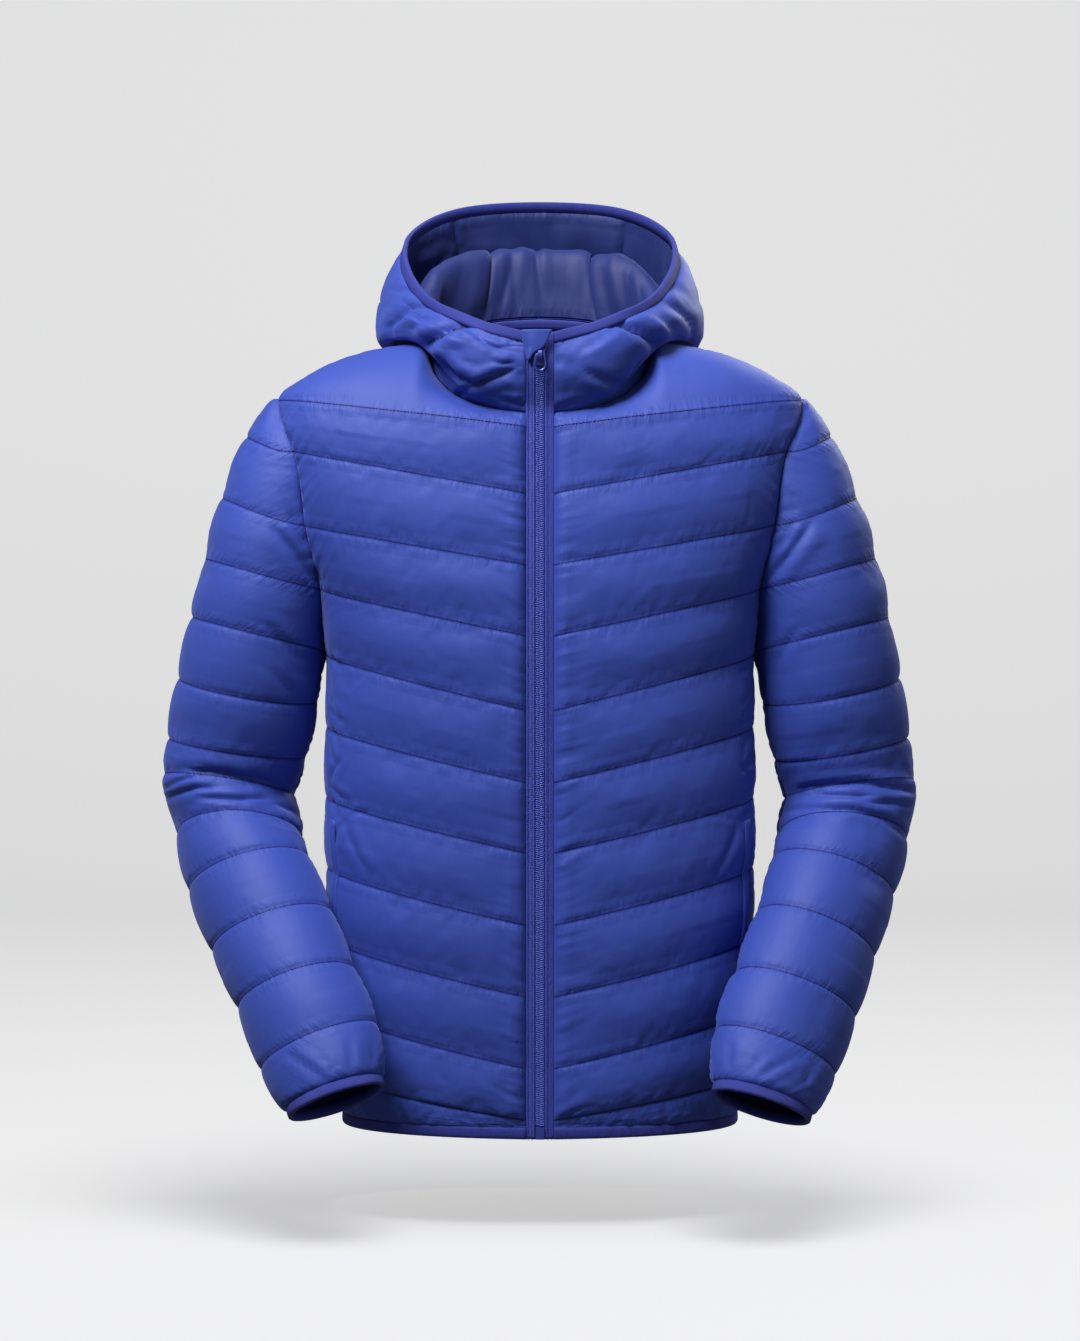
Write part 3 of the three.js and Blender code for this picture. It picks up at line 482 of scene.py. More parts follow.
def quilt(name, surface, us, stitches, outward, fill, seed=0):
    """One quilted piece: its base surface, its normals and how far it fills, all in mm."""
    mid_u, mid_v = us[len(us) // 2], stitches[len(stitches) // 2]
    span_v = lambda a, b: np.linalg.norm(surface(mid_u, b) - surface(mid_u, a))
    span_u = lambda a, b: np.linalg.norm(surface(b, mid_v) - surface(a, mid_v))
    u, v = spaced(us, span_u), spaced(stitches, span_v)
    base = surface(u[None, :], v[:, None])
    normal = normals_of(base, outward)
    share, _ = channel_share(v, stitches)
    profile = pillow(share)[:, None]
    on_line = profile[:, 0] < 1e-3
    loft = fill(np.abs(u)[None, :], v[:, None])
    height = channel_heights(surface, u, v, stitches)
    rise = FIRST_RISE * loft * profile * np.minimum(height / FULL_CHANNEL, 1)
    rough = 1 + ROUGHNESS_SHARE * smooth_noise(rise.shape, ROUGHNESS_CELL, SEED + seed)
    start = base + normal * (rise * rough)[..., None]
    pinned = np.zeros(rise.shape, bool)
    pinned[on_line] = True
    pinned[:, [0, -1]] = True
    start[pinned] = base[pinned]
    settled = settle(name, start, pinned, outward)
    moved = settled - base
    out = (moved * normal).sum(-1)
    along = (moved - out[..., None] * normal) * DRIFT_SHARE
    full = np.maximum(out, 0) / np.maximum(profile, THIN_PROFILE)
    rows = np.flatnonzero(on_line)
    full[rows] = (full[np.maximum(rows - 1, 1)] + full[np.minimum(rows + 1, len(v) - 2)]) / 2
    cap = MAX_PROUD * np.clip(loft, LEAST_LOFT, 1) * np.minimum(height / FULL_CHANNEL, 1)
    full = cap * np.tanh(full / np.maximum(cap, 0.1))
    proud, mean = round(float(full.max()), 1), round(float(full.mean()), 1)
    print(name, full.shape, "mm proud", proud, "mean", mean)
    return {
        "base": base, "normal": normal, "full": full, "along": along, "u": u, "v": v,
        "loft": loft, "stitches": stitches, "outward": outward, "seed": seed,
    }


def channel_heights(surface, u, v, stitches):
    """How tall the channel is at each point."""
    _, number = channel_share(v, stitches)
    ends = surface(u[None, :], np.asarray(stitches, float)[:, None])
    heights = np.linalg.norm(np.diff(ends, axis=0), axis=-1)
    return heights[number]


def ripple(x, spacing, rng):
    """Soft random hills and hollows along a line, about one every spacing."""
    knots = rng.uniform(-1, 1, int(x.max() / spacing) + 4)
    i = (x / spacing).astype(int)
    f = soft_step(x / spacing - i)
    return knots[i] * (1 - f) + knots[i + 1] * f


GATHER_SPACING = 6.5
GATHER_DEEP = 1.7
GATHER_REACH = 8.5
LONG_SPACING = 13.0
LONG_DEEP = 0.2
EDGE_SPACING = 5.5
EDGE_DEEP = 3.0
EDGE_REACH = 15.0
END_SHARE = 0.7
END_FREE = 12
SEAM_ROUND = 11.0
SEAM_LIFT = 3.4
END_ROUND = 8.0
SOFT_RISE = 4.0
CREASE_RISE = 2.0
LEAST_CREASE = 0.4
# The collar's front, as shares of the way round, and how far it is kept from any gathers.
COLLAR_PLUMP = (0.5, 0.68)
COLLAR_PLAIN = (0.42, 0.55)
FAR_FROM_SEAMS = 60


def gathers(along, distance, number, seed):
    """The short creases that a stitch line draws up on both sides, and faint long ones."""
    out = np.zeros(along.shape)
    for line in np.unique(number):
        rows = number == line
        rng = np.random.default_rng(1000 * seed + int(line))
        x, d = along[rows], distance[rows]
        lean = rng.uniform(-0.35, 0.35)
        groove = np.exp(-((ripple(x + lean * d, GATHER_SPACING, rng) / 0.4) ** 2))
        patch = np.clip(0.45 + 0.55 * ripple(x, 40.0, rng), 0.12, 1)
        out[rows] -= GATHER_DEEP * groove * patch * np.exp(-d / GATHER_REACH) * (1 - np.exp(-d / 1.5))
        lean = rng.uniform(-0.9, 0.9)
        fold = ripple(x + lean * d, LONG_SPACING, rng) + 1.6 * ripple(x - lean * d, 4 * LONG_SPACING, rng)
        out[rows] += LONG_DEEP * fold * (1 - np.exp(-d / 6))
    return out


def edge_gathers(down, to_edge, seed):
    """Creases that run in from a panel's own seams, such as those beside the zip."""
    rng = np.random.default_rng(500 + seed)
    slant = 0.35 * ripple(down, 60.0, rng)
    groove = np.exp(-((ripple(down + slant * to_edge, EDGE_SPACING, rng) / 0.34) ** 2))
    patch = 0.6 + 0.4 * ripple(down, 50.0, rng)
    reach = EDGE_REACH * (0.7 + 0.5 * np.abs(ripple(down, 2 * EDGE_SPACING, rng)))
    return -EDGE_DEEP * groove * patch * np.exp(-to_edge / reach)


CAMERA_AWAY = 3000.0
CAMERA_Z = -283.5
MM_PER_PIXEL = 0.89
MIDDLE_PIXEL = (539.5, 670.5)
# Creases that the photograph shows. Each row has a depth and a width in mm, then the course
# that the crease takes in the photograph's own pixels.
CREASES = {
    "elbow, right sleeve": [
        (3.2, 5, [(165, 774), (188, 770), (209, 771), (261, 779), (300, 797)]),
        (2.6, 4, [(165, 790), (186, 780), (209, 774)]),
        (2.8, 4.5, [(166, 797), (201, 788), (218, 791)]),
        (3.0, 4, [(200, 798), (232, 802), (265, 800)]),
        (2.4, 4, [(272, 806), (290, 815), (306, 832)]),
    ],
    "elbow, left sleeve": [
        (3.2, 5, [(800, 790), (811, 785), (862, 783), (913, 793)]),
        (2.6, 4, [(785, 812), (811, 811), (851, 811), (876, 818), (905, 842)]),
        (2.4, 4, [(820, 797), (850, 799), (872, 797)]),
        (2.2, 4, [(862, 806), (885, 803), (908, 806)]),
    ],
    "armpit": [
        (3, 6, [(271, 526), (292, 552), (313, 583)]),
        (2.2, 5, [(288, 512), (302, 540), (312, 562)]),
        (3, 6, [(810, 522), (802, 536), (785, 560), (765, 581)]),
        (2, 5, [(792, 520), (784, 540), (772, 558)]),
        (1.6, 5, [(262, 620), (280, 640), (296, 662)]),
        (1.6, 5, [(268, 668), (288, 690), (300, 712)]),
        (1.6, 5, [(800, 625), (786, 645), (776, 668)]),
    ],
    "collar": [
        (4.6, 4.5, [(436, 352), (457, 374), (477, 382), (496, 376), (516, 368)]),
        (4.1, 4.5, [(640, 356), (624, 381), (603, 379), (583, 369)]),
        (2.4, 3.5, [(470, 330), (487, 345), (505, 352)]),
        (2.4, 3.5, [(612, 330), (596, 343), (578, 352)]),
        (2.2, 3.5, [(455, 398), (470, 385), (486, 380)]),
        (2.0, 3, [(500, 398), (515, 402), (526, 407)]),
        (2.0, 3, [(580, 398), (566, 402), (554, 407)]),
        (1.9, 3, [(492, 360), (500, 364), (514, 362)]),
    ],
    "hood fold": [
        (8.5, 7, [(474, 323), (460, 325), (446, 331), (432, 341), (423, 349)]),
        (8.5, 7, [(607, 322), (622, 326), (640, 333), (652, 343), (658, 350)]),
        (3, 4.5, [(395, 341), (393, 327), (411, 309), (431, 306)]),
        (3, 4.5, [(690, 341), (688, 326), (679, 315), (662, 303)]),
        (2.6, 5, [(400, 296), (411, 287), (426, 284)]),
        (2.6, 5, [(682, 296), (672, 287), (658, 284)]),
        (2.2, 4, [(440, 318), (425, 322), (412, 330)]),
        (2.2, 4, [(641, 318), (656, 322), (669, 330)]),
        (2.5, 5, [(462, 318), (468, 327), (470, 338)]),
        (2.5, 5, [(616, 318), (611, 327), (609, 338)]),
    ],
    "pockets": [
        (1.6, 3.2, [(334, 655), (340, 663), (348, 669)]),
        (1.8, 3.2, [(331, 690), (338, 700), (342, 713)]),
        (1.6, 3.0, [(334, 708), (341, 716), (350, 722)]),
        (1.8, 3.2, [(336, 728), (342, 740), (344, 754)]),
        (1.6, 3.0, [(347, 758), (340, 770), (337, 781)]),
        (2.0, 3.2, [(335, 783), (342, 793), (352, 801)]),
        (1.8, 4, [(349, 818), (356, 840), (370, 872)]),
        (1.5, 3.5, [(345, 818), (338, 806), (334, 794)]),
        (1.6, 3.5, [(347, 822), (341, 838), (340, 852)]),
        (1.2, 3, [(352, 816), (362, 812), (372, 812)]),
        (1.5, 4, [(333, 672), (338, 690), (346, 702)]),
        (1.5, 4, [(331, 742), (338, 757), (346, 768)]),
    ],
    "cuffs": [
        (2.2, 4, [(289, 1052), (310, 1068), (332, 1084)]),
        (1.6, 3.5, [(347, 1040), (349, 1058), (350, 1072)]),
        (1.4, 3, [(366, 1040), (368, 1056), (369, 1068)]),
        (1.6, 3.5, [(322, 1058), (330, 1070), (338, 1080)]),
        (2.0, 4, [(795, 1055), (775, 1068), (752, 1082)]),
        (1.6, 3.5, [(735, 1042), (733, 1058), (731, 1070)]),
        (1.6, 3.5, [(762, 1056), (756, 1068), (748, 1078)]),
        (1.6, 3.5, [(812, 1060), (804, 1074), (796, 1086)]),
    ],
    "hem": [
        (1.6, 3.5, [(400, 1104), (404, 1118), (403, 1130)]),
        (1.6, 3.5, [(430, 1112), (426, 1124), (429, 1134)]),
        (1.6, 3.5, [(470, 1116), (474, 1126), (472, 1135)]),
        (1.6, 3.5, [(620, 1112), (616, 1124), (619, 1134)]),
        (1.6, 3.5, [(660, 1104), (664, 1118), (661, 1130)]),
        (1.4, 3.5, [(560, 1122), (572, 1112), (590, 1104)]),
    ],
}
MIRRORED = ("pockets",)
MIRROR_SUM = 1080
ON_BOTH_SIDES = ("elbow, right sleeve", "elbow, left sleeve", "armpit", "cuffs", "hem")
BEHIND_SHIFT = (5.0, 7.0)


def from_photo(course):
    """Pixels of the photograph as x and z in mm, in the plane of the shoulders."""
    places = (np.asarray(course, float) - MIDDLE_PIXEL) * MM_PER_PIXEL
    return places * (1, -1) + (0, CAMERA_Z)


def seen(points):
    """Where the camera sees points, as x and z in the plane of the shoulders."""
    scale = CAMERA_AWAY / (CAMERA_AWAY + points[..., 1])
    return np.stack([points[..., 0] * scale, CAMERA_Z + (points[..., 2] - CAMERA_Z) * scale], -1)


def course_distance(places, course):
    """Distance to a bent line, the side of it, and how near its ends, 0 there and 1 within."""
    best = np.full(places.shape[:-1], 1e9)
    side, ends = np.zeros(best.shape), np.zeros(best.shape)
    total = np.linalg.norm(np.diff(course, axis=0), axis=-1).sum()
    walked = 0.0
    for a, b in zip(course[:-1], course[1:]):
        way = b - a
        length = np.linalg.norm(way)
        t = np.clip(((places - a) @ way) / length**2, 0, 1)
        gap = places - (a + t[..., None] * way)
        far = np.linalg.norm(gap, axis=-1)
        nearer = far < best
        best = np.where(nearer, far, best)
        side = np.where(nearer, way[0] * gap[..., 1] - way[1] * gap[..., 0], side)
        share = (walked + t * length) / total
        ends = np.where(nearer, np.clip(4 * share * (1 - share), 0, 1) ** 0.5, ends)
        walked += length
    return best, np.sign(side), ends


def crease_shape(places, deep, wide, course):
    """A soft trough along a course, with a low ridge on each side of it."""
    far, side, ends = course_distance(places, course)
    trough = np.exp(-((far / (0.45 * wide)) ** 2))
    ridge = np.exp(-(((far - 1.7 * wide) / wide) ** 2)) * (0.45 + 0.2 * side)
    return deep * (ridge - trough) * ends


def placed_creases(points, normal):
    """The creases seen in front, and those like them on the sides that the photo hides."""
    places = seen(points)
    in_front = np.clip(-normal[..., 1] * 2.5, 0, 1)
    behind = np.clip(normal[..., 1] * 2.5, 0, 1)
    out = np.zeros(points.shape[:-1])
    for part, rows in CREASES.items():
        for deep, wide, pixels in rows:
            course = from_photo(pixels)
            out += crease_shape(places, deep, wide, course) * in_front
            if part in MIRRORED:
                other = from_photo([(MIRROR_SUM - x, y + 4) for x, y in pixels])
                out += crease_shape(places, deep, wide, other) * in_front
            if part in ON_BOTH_SIDES:
                out += crease_shape(places + BEHIND_SHIFT, 0.8 * deep, wide, course) * behind
    return out


def doubled(values):
    """A list of places with one more halfway between each two."""
    out = np.empty(2 * len(values) - 1)
    out[::2], out[1::2] = values, (values[:-1] + values[1:]) / 2
    return out


EVEN_ROUNDS = 8


def even_fill(full):
    """Smooths the fill along the channel, so that its ends round off and don't step."""
    calm = full.copy()
    calm[:, :3], calm[:, -3:] = full[:, 3:4], full[:, -4:-3]
    for _ in range(EVEN_ROUNDS):
        padded = np.pad(calm, ((0, 0), (1, 1)), mode="edge")
        calm = 0.25 * padded[:, :-2] + 0.5 * padded[:, 1:-1] + 0.25 * padded[:, 2:]
        padded = np.pad(calm, ((1, 1), (0, 0)), mode="edge")
        calm = 0.25 * padded[:-2] + 0.5 * padded[1:-1] + 0.25 * padded[2:]
    return calm + 0.25 * (full - calm)


def dressed(made, is_hood=False):
    """The finished outside at twice the cloth's fineness, and what goes with it."""
    base = finer(made["base"] + made["along"])
    normal = finer(made["normal"])
    normal /= np.linalg.norm(normal, axis=-1, keepdims=True)
    full = np.maximum(finer(even_fill(made["full"])[..., None])[..., 0], 0)
    loft = finer(np.broadcast_to(made["loft"], made["full"].shape)[..., None])[..., 0]
    u, v = doubled(made["u"]), doubled(made["v"])
    stitches = np.asarray(made["stitches"], float)
    share, number = channel_share(v, stitches)
    rows, columns = full.shape
    step = np.linalg.norm(np.diff(base, axis=1), axis=-1)
    along = np.concatenate([np.zeros((rows, 1)), np.cumsum(step, 1)], 1)
    fall = np.linalg.norm(np.diff(base, axis=0), axis=-1)
    down = np.concatenate([np.zeros((1, columns)), np.cumsum(fall, 0)], 0)
    at_lines = np.stack([down[np.argmin(np.abs(v - s))] for s in stitches])
    distance = np.minimum(down - at_lines[number], at_lines[number + 1] - down)
    nearest = np.repeat((number + (share > 0.5))[:, None], columns, 1)
    to_edge = np.minimum(along, along[:, -1:] - along)
    rounded = np.clip(1 - (1 - np.minimum(to_edge / SEAM_ROUND, 1)) ** 2, 0, 1) ** 0.6
    to_end = np.minimum(down, down[-1:] - down)
    lift = SEAM_LIFT * loft * np.clip(to_end / END_ROUND, 0, 1) ** 0.5
    height = (at_lines[number + 1] - at_lines[number]) / FULL_CHANNEL
    lift = lift * np.clip(height, 0, 1)
    profile = np.repeat(pillow(share)[:, None], columns, 1)
    if is_hood:
        # The collar's front isn't quilted: one plump roll from the neck seam to the rim.
        front = fade(np.abs(u), *COLLAR_PLUMP)[None, :]
        plump = 1 - np.abs(2 * v / v[-1] - 1) ** 3
        profile = profile * (1 - front) + plump[:, None] * front
    rise = rounded * (lift + np.maximum(full - lift, 0) * profile)
    seed = made["seed"] + 11
    if is_hood:
        distance = distance + FAR_FROM_SEAMS * fade(np.abs(u), *COLLAR_PLAIN)[None, :]
    wrinkles = gathers(along, distance, nearest, seed) * np.clip(to_edge / END_FREE, 0, 1)
    beside = edge_gathers(down, to_edge, seed)
    at_top = edge_gathers(along, down, seed + 50)
    at_foot = edge_gathers(along, down[-1:] - down, seed + 90)
    beside += END_SHARE * (at_top + at_foot)
    beside *= np.clip(rise, 0, 1)
    creases = placed_creases(base, normal) * np.clip(rise / CREASE_RISE, LEAST_CREASE, 1)
    creased = rise + wrinkles * np.clip(rise / SOFT_RISE, 0, 1) + beside + creases
    return {
        "outside": base + normal * creased[..., None], "base": finer(made["base"]),
        "normal": normal, "rise": creased, "plain_rise": rise, "u": u, "v": v,
        "along": along, "distance": distance, "line": np.repeat(v[:, None], columns, 1),
        "outward": made["outward"],
    }


INNER_CRUMPLE = 3.2
CRUMPLE_CELLS = ((22, 6), (6, 17), (9, 9))
CRUMPLE_SHARES = (0.7, 0.7, 0.6)
CRUMPLE_SEED = 41
CRUMPLE_FREE = 0.35
COARSER_INSIDE = 3


def close_piece(name, cloth, inner_puff=0.0):
    """The outside, a plain or puffed inside, and the edges between them, as one mesh."""
    outside, base, normal = cloth["outside"], cloth["base"], cloth["normal"]
    rows, columns = outside.shape[:2]
    step = 1 if inner_puff else COARSER_INSIDE
    pick_r = sorted({*range(0, rows, step), rows - 1})
    pick_c = sorted({*range(0, columns, step), columns - 1})
    depth = WALL + inner_puff * np.clip(cloth["rise"], 0, None)
    if inner_puff:
        crumple = 0
        for k, (cell, share) in enumerate(zip(CRUMPLE_CELLS, CRUMPLE_SHARES)):
            crumple = crumple + share * smooth_noise(depth.shape, cell, CRUMPLE_SEED + k)
        free = np.minimum(cloth["v"], cloth["v"][-1] - cloth["v"])
        free = np.clip(free / CRUMPLE_FREE, 0, 1)[:, None]
        depth = depth + INNER_CRUMPLE * free * np.abs(crumple)
    inside_full = base - normal * depth[..., None]
    picked = np.ix_(pick_r, pick_c)
    turned = cloth["outward"] < 0
    faces = grid_faces(rows, columns, turned)
    faces += grid_faces(len(pick_r), len(pick_c), not turned, rows * columns)
    first = rows * columns + len(pick_r) * len(pick_c)
    border = grid_border(rows, columns)
    lip = tuple(np.array(border).T)
    points = [outside.reshape(-1, 3), inside_full[picked].reshape(-1, 3), inside_full[lip]]
    count = len(border)
    for k in range(count):
        nxt = (k + 1) % count
        a, b = border[k][0] * columns + border[k][1], border[nxt][0] * columns + border[nxt][1]
        quad = (b, a, first + k, first + nxt)
        faces.append(quad[::-1] if turned else quad)
    obj = add_mesh(name, np.concatenate(points), faces)
    outer = (rows - 1) * (columns - 1)
    for _ in ("outside", "inside"):
        obj.data.materials.append(None)
    obj.data.polygons.foreach_set("material_index", [int(k >= outer) for k in range(len(faces))])
    places = np.stack([cloth["along"], cloth["line"], cloth["distance"]], -1)
    flat = np.concatenate([places.reshape(-1, 3), places[picked].reshape(-1, 3), places[lip]])
    add_vectors(obj, "place", flat)
    return obj


# %% [markdown]
# ## Where the wadding is squeezed
# Beside an armhole the sleeve presses on the body, and by the neck the hood does, so the
# channels are flatter there. The shares below are the solids' own.


# %% Fill of each piece
def fade(value, start, end):
    return np.clip((value - start) / (end - start), 0, 1)


def body_fill(u, line):
    armpit = np.minimum(fade(line, 2.2, 4), fade(line, 7.5, 5.5))
    beside = fade(u, 0.74, 0.98) * (0.45 + 0.45 * armpit)
    neck = np.where(line < 1, 0.65 * fade(u, 0.5, 0.3), 0)
    return 1 - np.maximum(beside, neck)


def sleeve_fill(u, line):
    armpit = np.minimum(fade(line, 0.5, 3), fade(line, 7, 5))
    loose = np.where(line < SLEEVE_JOINS, 0.6, 0.1)
    wrist = 0.25 * fade(line, 11, 13)
    return 1 - np.maximum(fade(u, 0.5, 0.9) * (loose + (0.9 - loose) * armpit), wrist + 0 * u)


def hood_fill(w, t):
    side = np.minimum(fade(w, 0.3, 0.45), fade(w, 1, 0.8))
    return 0.9 - 0.45 * side * fade(t, 3, 1.4)


# %% [markdown]
# ## The quilted pieces
# Two fronts, a back, two sleeves and a hood of three, each cut, quilted and set on its solid's
# place. They are one cloth and one body, so nothing between them moves.


# %% Fronts, back, sleeves and hood
def facing(grid):
    """1 where a grid's own normals already face away from its middle, -1 where they don't."""
    own = np.cross(np.gradient(grid, axis=1), np.gradient(grid, axis=0))
    return 1.0 if (own * (grid - grid.mean((0, 1)))).sum() > 0 else -1.0


def mirrored(surface):
    return lambda u, v: surface(u, v) * np.array([-1.0, 1, 1])


front_left = lambda u, v: body_point(u, v, False)
back = lambda u, v: body_point(u, v, True)
sleeve_left = lambda u, v: sleeve_point(SLEEVE_LEFT, u, v)
sleeve_right = lambda u, v: sleeve_point(SLEEVE_RIGHT, u, v) * np.array([-1.0, 1, 1])

BODY_STITCHES = list(range(HEM_LINE + 1))
SLEEVE_STITCHES = list(range(CUFF_LINE + 1))
HOOD_STITCHES = [0, 1.6, 3.1, 4]
PIECES = {
    "front_right": (mirrored(front_left), [0, 1], BODY_STITCHES, body_fill),
    "front_left": (front_left, [0, 1], BODY_STITCHES, body_fill),
    "back": (back, [-1, 0, 1], BODY_STITCHES, body_fill),
    "sleeve_right": (sleeve_right, [-1, 0, 1], SLEEVE_STITCHES, sleeve_fill),
    "sleeve_left": (sleeve_left, [-1, 0, 1], SLEEVE_STITCHES, sleeve_fill),
    "hood_centre": (hood_point, [-CENTRE_STRIP, 0, CENTRE_STRIP], HOOD_STITCHES, hood_fill),
    "hood_side_right": (hood_point, [-1, -CENTRE_STRIP], HOOD_STITCHES, hood_fill),
    "hood_side_left": (hood_point, [CENTRE_STRIP, 1], HOOD_STITCHES, hood_fill),
}

quilted = {}
for number, (name, (surface, us, stitches, fill)) in enumerate(PIECES.items()):
    is_hood = name.startswith("hood")
    probe_v = np.linspace(2.2 if is_hood else stitches[0] + 1, stitches[-1], 12)
    probe_u = np.linspace(us[0], us[-1], 15)
    if is_hood and name != "hood_centre":
        probe_u = np.concatenate([-probe_u, probe_u]) if us[0] > 0 else np.concatenate([probe_u, -probe_u])
        probe_u = np.sort(probe_u)
    outward = facing(surface(probe_u[None, :], probe_v[:, None]))
    made = quilt(name, surface, us, stitches, outward, fill, seed=number)
    cloth = dressed(made, is_hood)
    obj = close_piece(name + "_cloth", cloth, 0.5 if is_hood else 0.0)
    quilted[name] = (obj, cloth)
    print(name, "faces", len(obj.data.polygons), "facing", outward)


# %% [markdown]
# ## Bindings
# Elastic knitted tape, folded over the raw edge of hem, cuffs and hood and sewn while
# stretched. It is swept along the edge as one soft band. Fine cross gathers show that it pulls.


# %% Elastic bindings
BAND_OUT = 1.6
BAND_IN = 2.8
BAND_STEP = 3.0
BAND_WAVE = 5.0
CLOSING_POINTS = 8
# The band's section: share of its height, share of its way out, and its way in.
BAND_SECTION = [(-0.14, -1, 1), (-0.12, 0.5, 0), (0.1, 0.92, 0), (0.34, 1.0, 0), (0.6, 1.0, 0)]
BAND_SECTION += [(0.84, 0.9, 0), (0.98, 0.35, 0), (1.0, -0.6, 1), (0.9, -1, 1), (0.5, -1.05, 1)]


def unit(vectors):
    return vectors / np.maximum(np.linalg.norm(vectors, axis=-1, keepdims=True), 1e-9)


def walked(path):
    """How far along a path each of its points lies."""
    return np.concatenate([[0], np.cumsum(np.linalg.norm(np.diff(path, axis=0), axis=-1))])


def tube_faces(count, sides, closed=False):
    """Faces between rings of points, with an end on each side of an open tube."""
    faces = []
    for r in range(count if closed else count - 1):
        nxt = (r + 1) % count
        for c in range(sides):
            d = (c + 1) % sides
            faces.append((r * sides + c, r * sides + d, nxt * sides + d, nxt * sides + c))
    if not closed:
        faces.append(tuple(range(sides))[::-1])
        faces.append(tuple((count - 1) * sides + k for k in range(sides)))
    return faces


def swept(name, centre, on, away, section, closed, seed=0, gather=0.0):
    """Sweeps a closed section along a path. Section points are (along on, along away) in mm."""
    section = np.asarray(section, float)
    count, sides = len(centre), len(section)
    length = walked(centre)
    rng = np.random.default_rng(SEED + 50 + seed)
    wave = ripple(length, BAND_WAVE, rng) * gather
    grow = 1 + wave[:, None, None] * (section[:, 1] > 0)[None, :, None]
    if closed:
        calm = np.linspace(1, 0, CLOSING_POINTS)[:, None, None]
        grow[-CLOSING_POINTS:] = 1 + (grow[-CLOSING_POINTS:] - 1) * calm
    points = centre[:, None] + on[:, None] * section[None, :, :1]
    points = points + away[:, None] * section[None, :, 1:] * grow
    obj = add_mesh(name, points.reshape(-1, 3), tube_faces(count, sides, closed))
    face_outward(obj)
    places = np.zeros((count, sides, 3))
    places[..., 0] = length[:, None]
    places[..., 2] = section[None, :, 0]
    add_vectors(obj, "place", places)
    return obj, length[-1]


def face_outward(obj):
    mesh = bmesh.new()
    mesh.from_mesh(obj.data)
    bmesh.ops.recalc_face_normals(mesh, faces=mesh.faces)
    mesh.to_mesh(obj.data)
    mesh.free()


def band_section(height=BAND_HEIGHT, out=BAND_OUT, inward=BAND_IN):
    return [(share * height, off * (inward if is_in else out)) for share, off, is_in in BAND_SECTION]


def evenly(surface, places, line, step=BAND_STEP):
    """Places along a row of a surface, about a step apart."""
    dense = np.linspace(places[0], places[-1], 1500)
    points = surface(dense, np.full(dense.shape, float(line)))
    length = walked(points)
    return np.interp(np.linspace(0, length[-1], int(length[-1] / step) + 1), length, dense)


def edge_frame(surface, u, line, step, outward):
    """Points of a row, the way on past it, and the way out of the cloth."""
    line = np.full(u.shape, float(line))
    at = surface(u, line)
    on = unit(at - surface(u, line - step))
    across = surface(u + 0.004, line - step) - surface(u - 0.004, line - step)
    away = unit(np.cross(across, on)) * outward
    return at + 0.3 * on, on, away


def trims():
    made = {}
    u = evenly(hood_point, [-0.999, 0.999], 4)
    centre, on, away = edge_frame(hood_point, u, 4, 0.05, 1)
    away *= np.sign((away * (centre - np.array([0, 20, 60]))).sum(-1, keepdims=True).mean())
    made["hood_binding"] = swept("hood_rim_binding", centre, on, away, band_section(), False, 1, 0.12)
    for number, (side, surface) in enumerate((("right", sleeve_right), ("left", sleeve_left))):
        u = evenly(surface, [-1, 1], CUFF_LINE)[:-1]
        centre, on, away = edge_frame(surface, u, CUFF_LINE, 0.05, 1)
        on = np.broadcast_to(unit(on.mean(0)), on.shape)
        away = away * np.sign((away * (centre - centre.mean(0))).sum())
        section = band_section(out=1.5)
        name = "cuff_binding_" + side
        made[name] = swept("cuff_band_" + side, centre, on, away, section, True, 2 + number, 0.2)
    front = lambda u, v: body_point(u, v, False)
    right = evenly(front, [0, 1], HEM_LINE)
    behind = evenly(back, [-1, 1], HEM_LINE)
    ends = np.full(right.shape, float(HEM_LINE))
    flip = np.array([-1.0, 1, 1])
    path = [front(right, ends) * flip, back(behind, np.full(behind.shape, float(HEM_LINE)))[1:-1]]
    path.append(front(right[::-1], ends))
    centre = np.concatenate(path) - np.array([0, 0, 0.3])
    on = np.broadcast_to(np.array([0.0, 0, -1]), centre.shape)
    away = unit(np.cross(np.gradient(centre, axis=0), on))
    away[:, 2] = 0
    away = unit(away) * np.sign((away * (centre - centre.mean(0))).sum())
    made["hem_binding"] = swept("hem_band", centre, on, away, band_section(), False, 5, 0.14)
    return made


bindings = trims()
for name, (obj, length) in bindings.items():
    print(name, "length mm", round(length), "faces", len(obj.data.polygons))

# %% [markdown]
# ## Zip
# Two woven tapes, folded back in a narrow pipe beside the teeth, and a coil of nylon teeth.
# The teeth are one small loop repeated along both tapes by Geometry Nodes, half a pitch apart.


# %% Zip tapes and coil
CHAIN_HALF = 3.9
TAPE_HALF = 11.7
TAPE_THICK = 1.6
TOOTH_PITCH = 1.9
TOOTH_LONG = 4.4
TOOTH_WIDE = 1.15
BOX_TALL = 10


def zip_path():
    lines = np.linspace(HEM_LINE, 0, 121)
    body = body_point(np.zeros(lines.shape), lines, False)
    body[0, 2] -= BAND_HEIGHT
    t = np.linspace(0, 4, 41)[1:]
    collar = hood_point(np.ones(t.shape), t)
    path = np.concatenate([body, collar, collar[-1:] + np.array([0, 0, BAND_HEIGHT])])
    path[:, 0] = 0
    return path


def even_path(path, step):
    length = walked(path)
    at = np.linspace(0, length[-1], int(length[-1] / step) + 1)
    return np.stack([np.interp(at, length, path[:, k]) for k in range(3)], -1)


def eased(path, rounds):
    """The path with its depth smoothed, so that the zip bends gently at the neck seam."""
    out = path.copy()
    for _ in range(rounds):
        out[1:-1, 1] = 0.25 * out[:-2, 1] + 0.5 * out[1:-1, 1] + 0.25 * out[2:, 1]
    return out


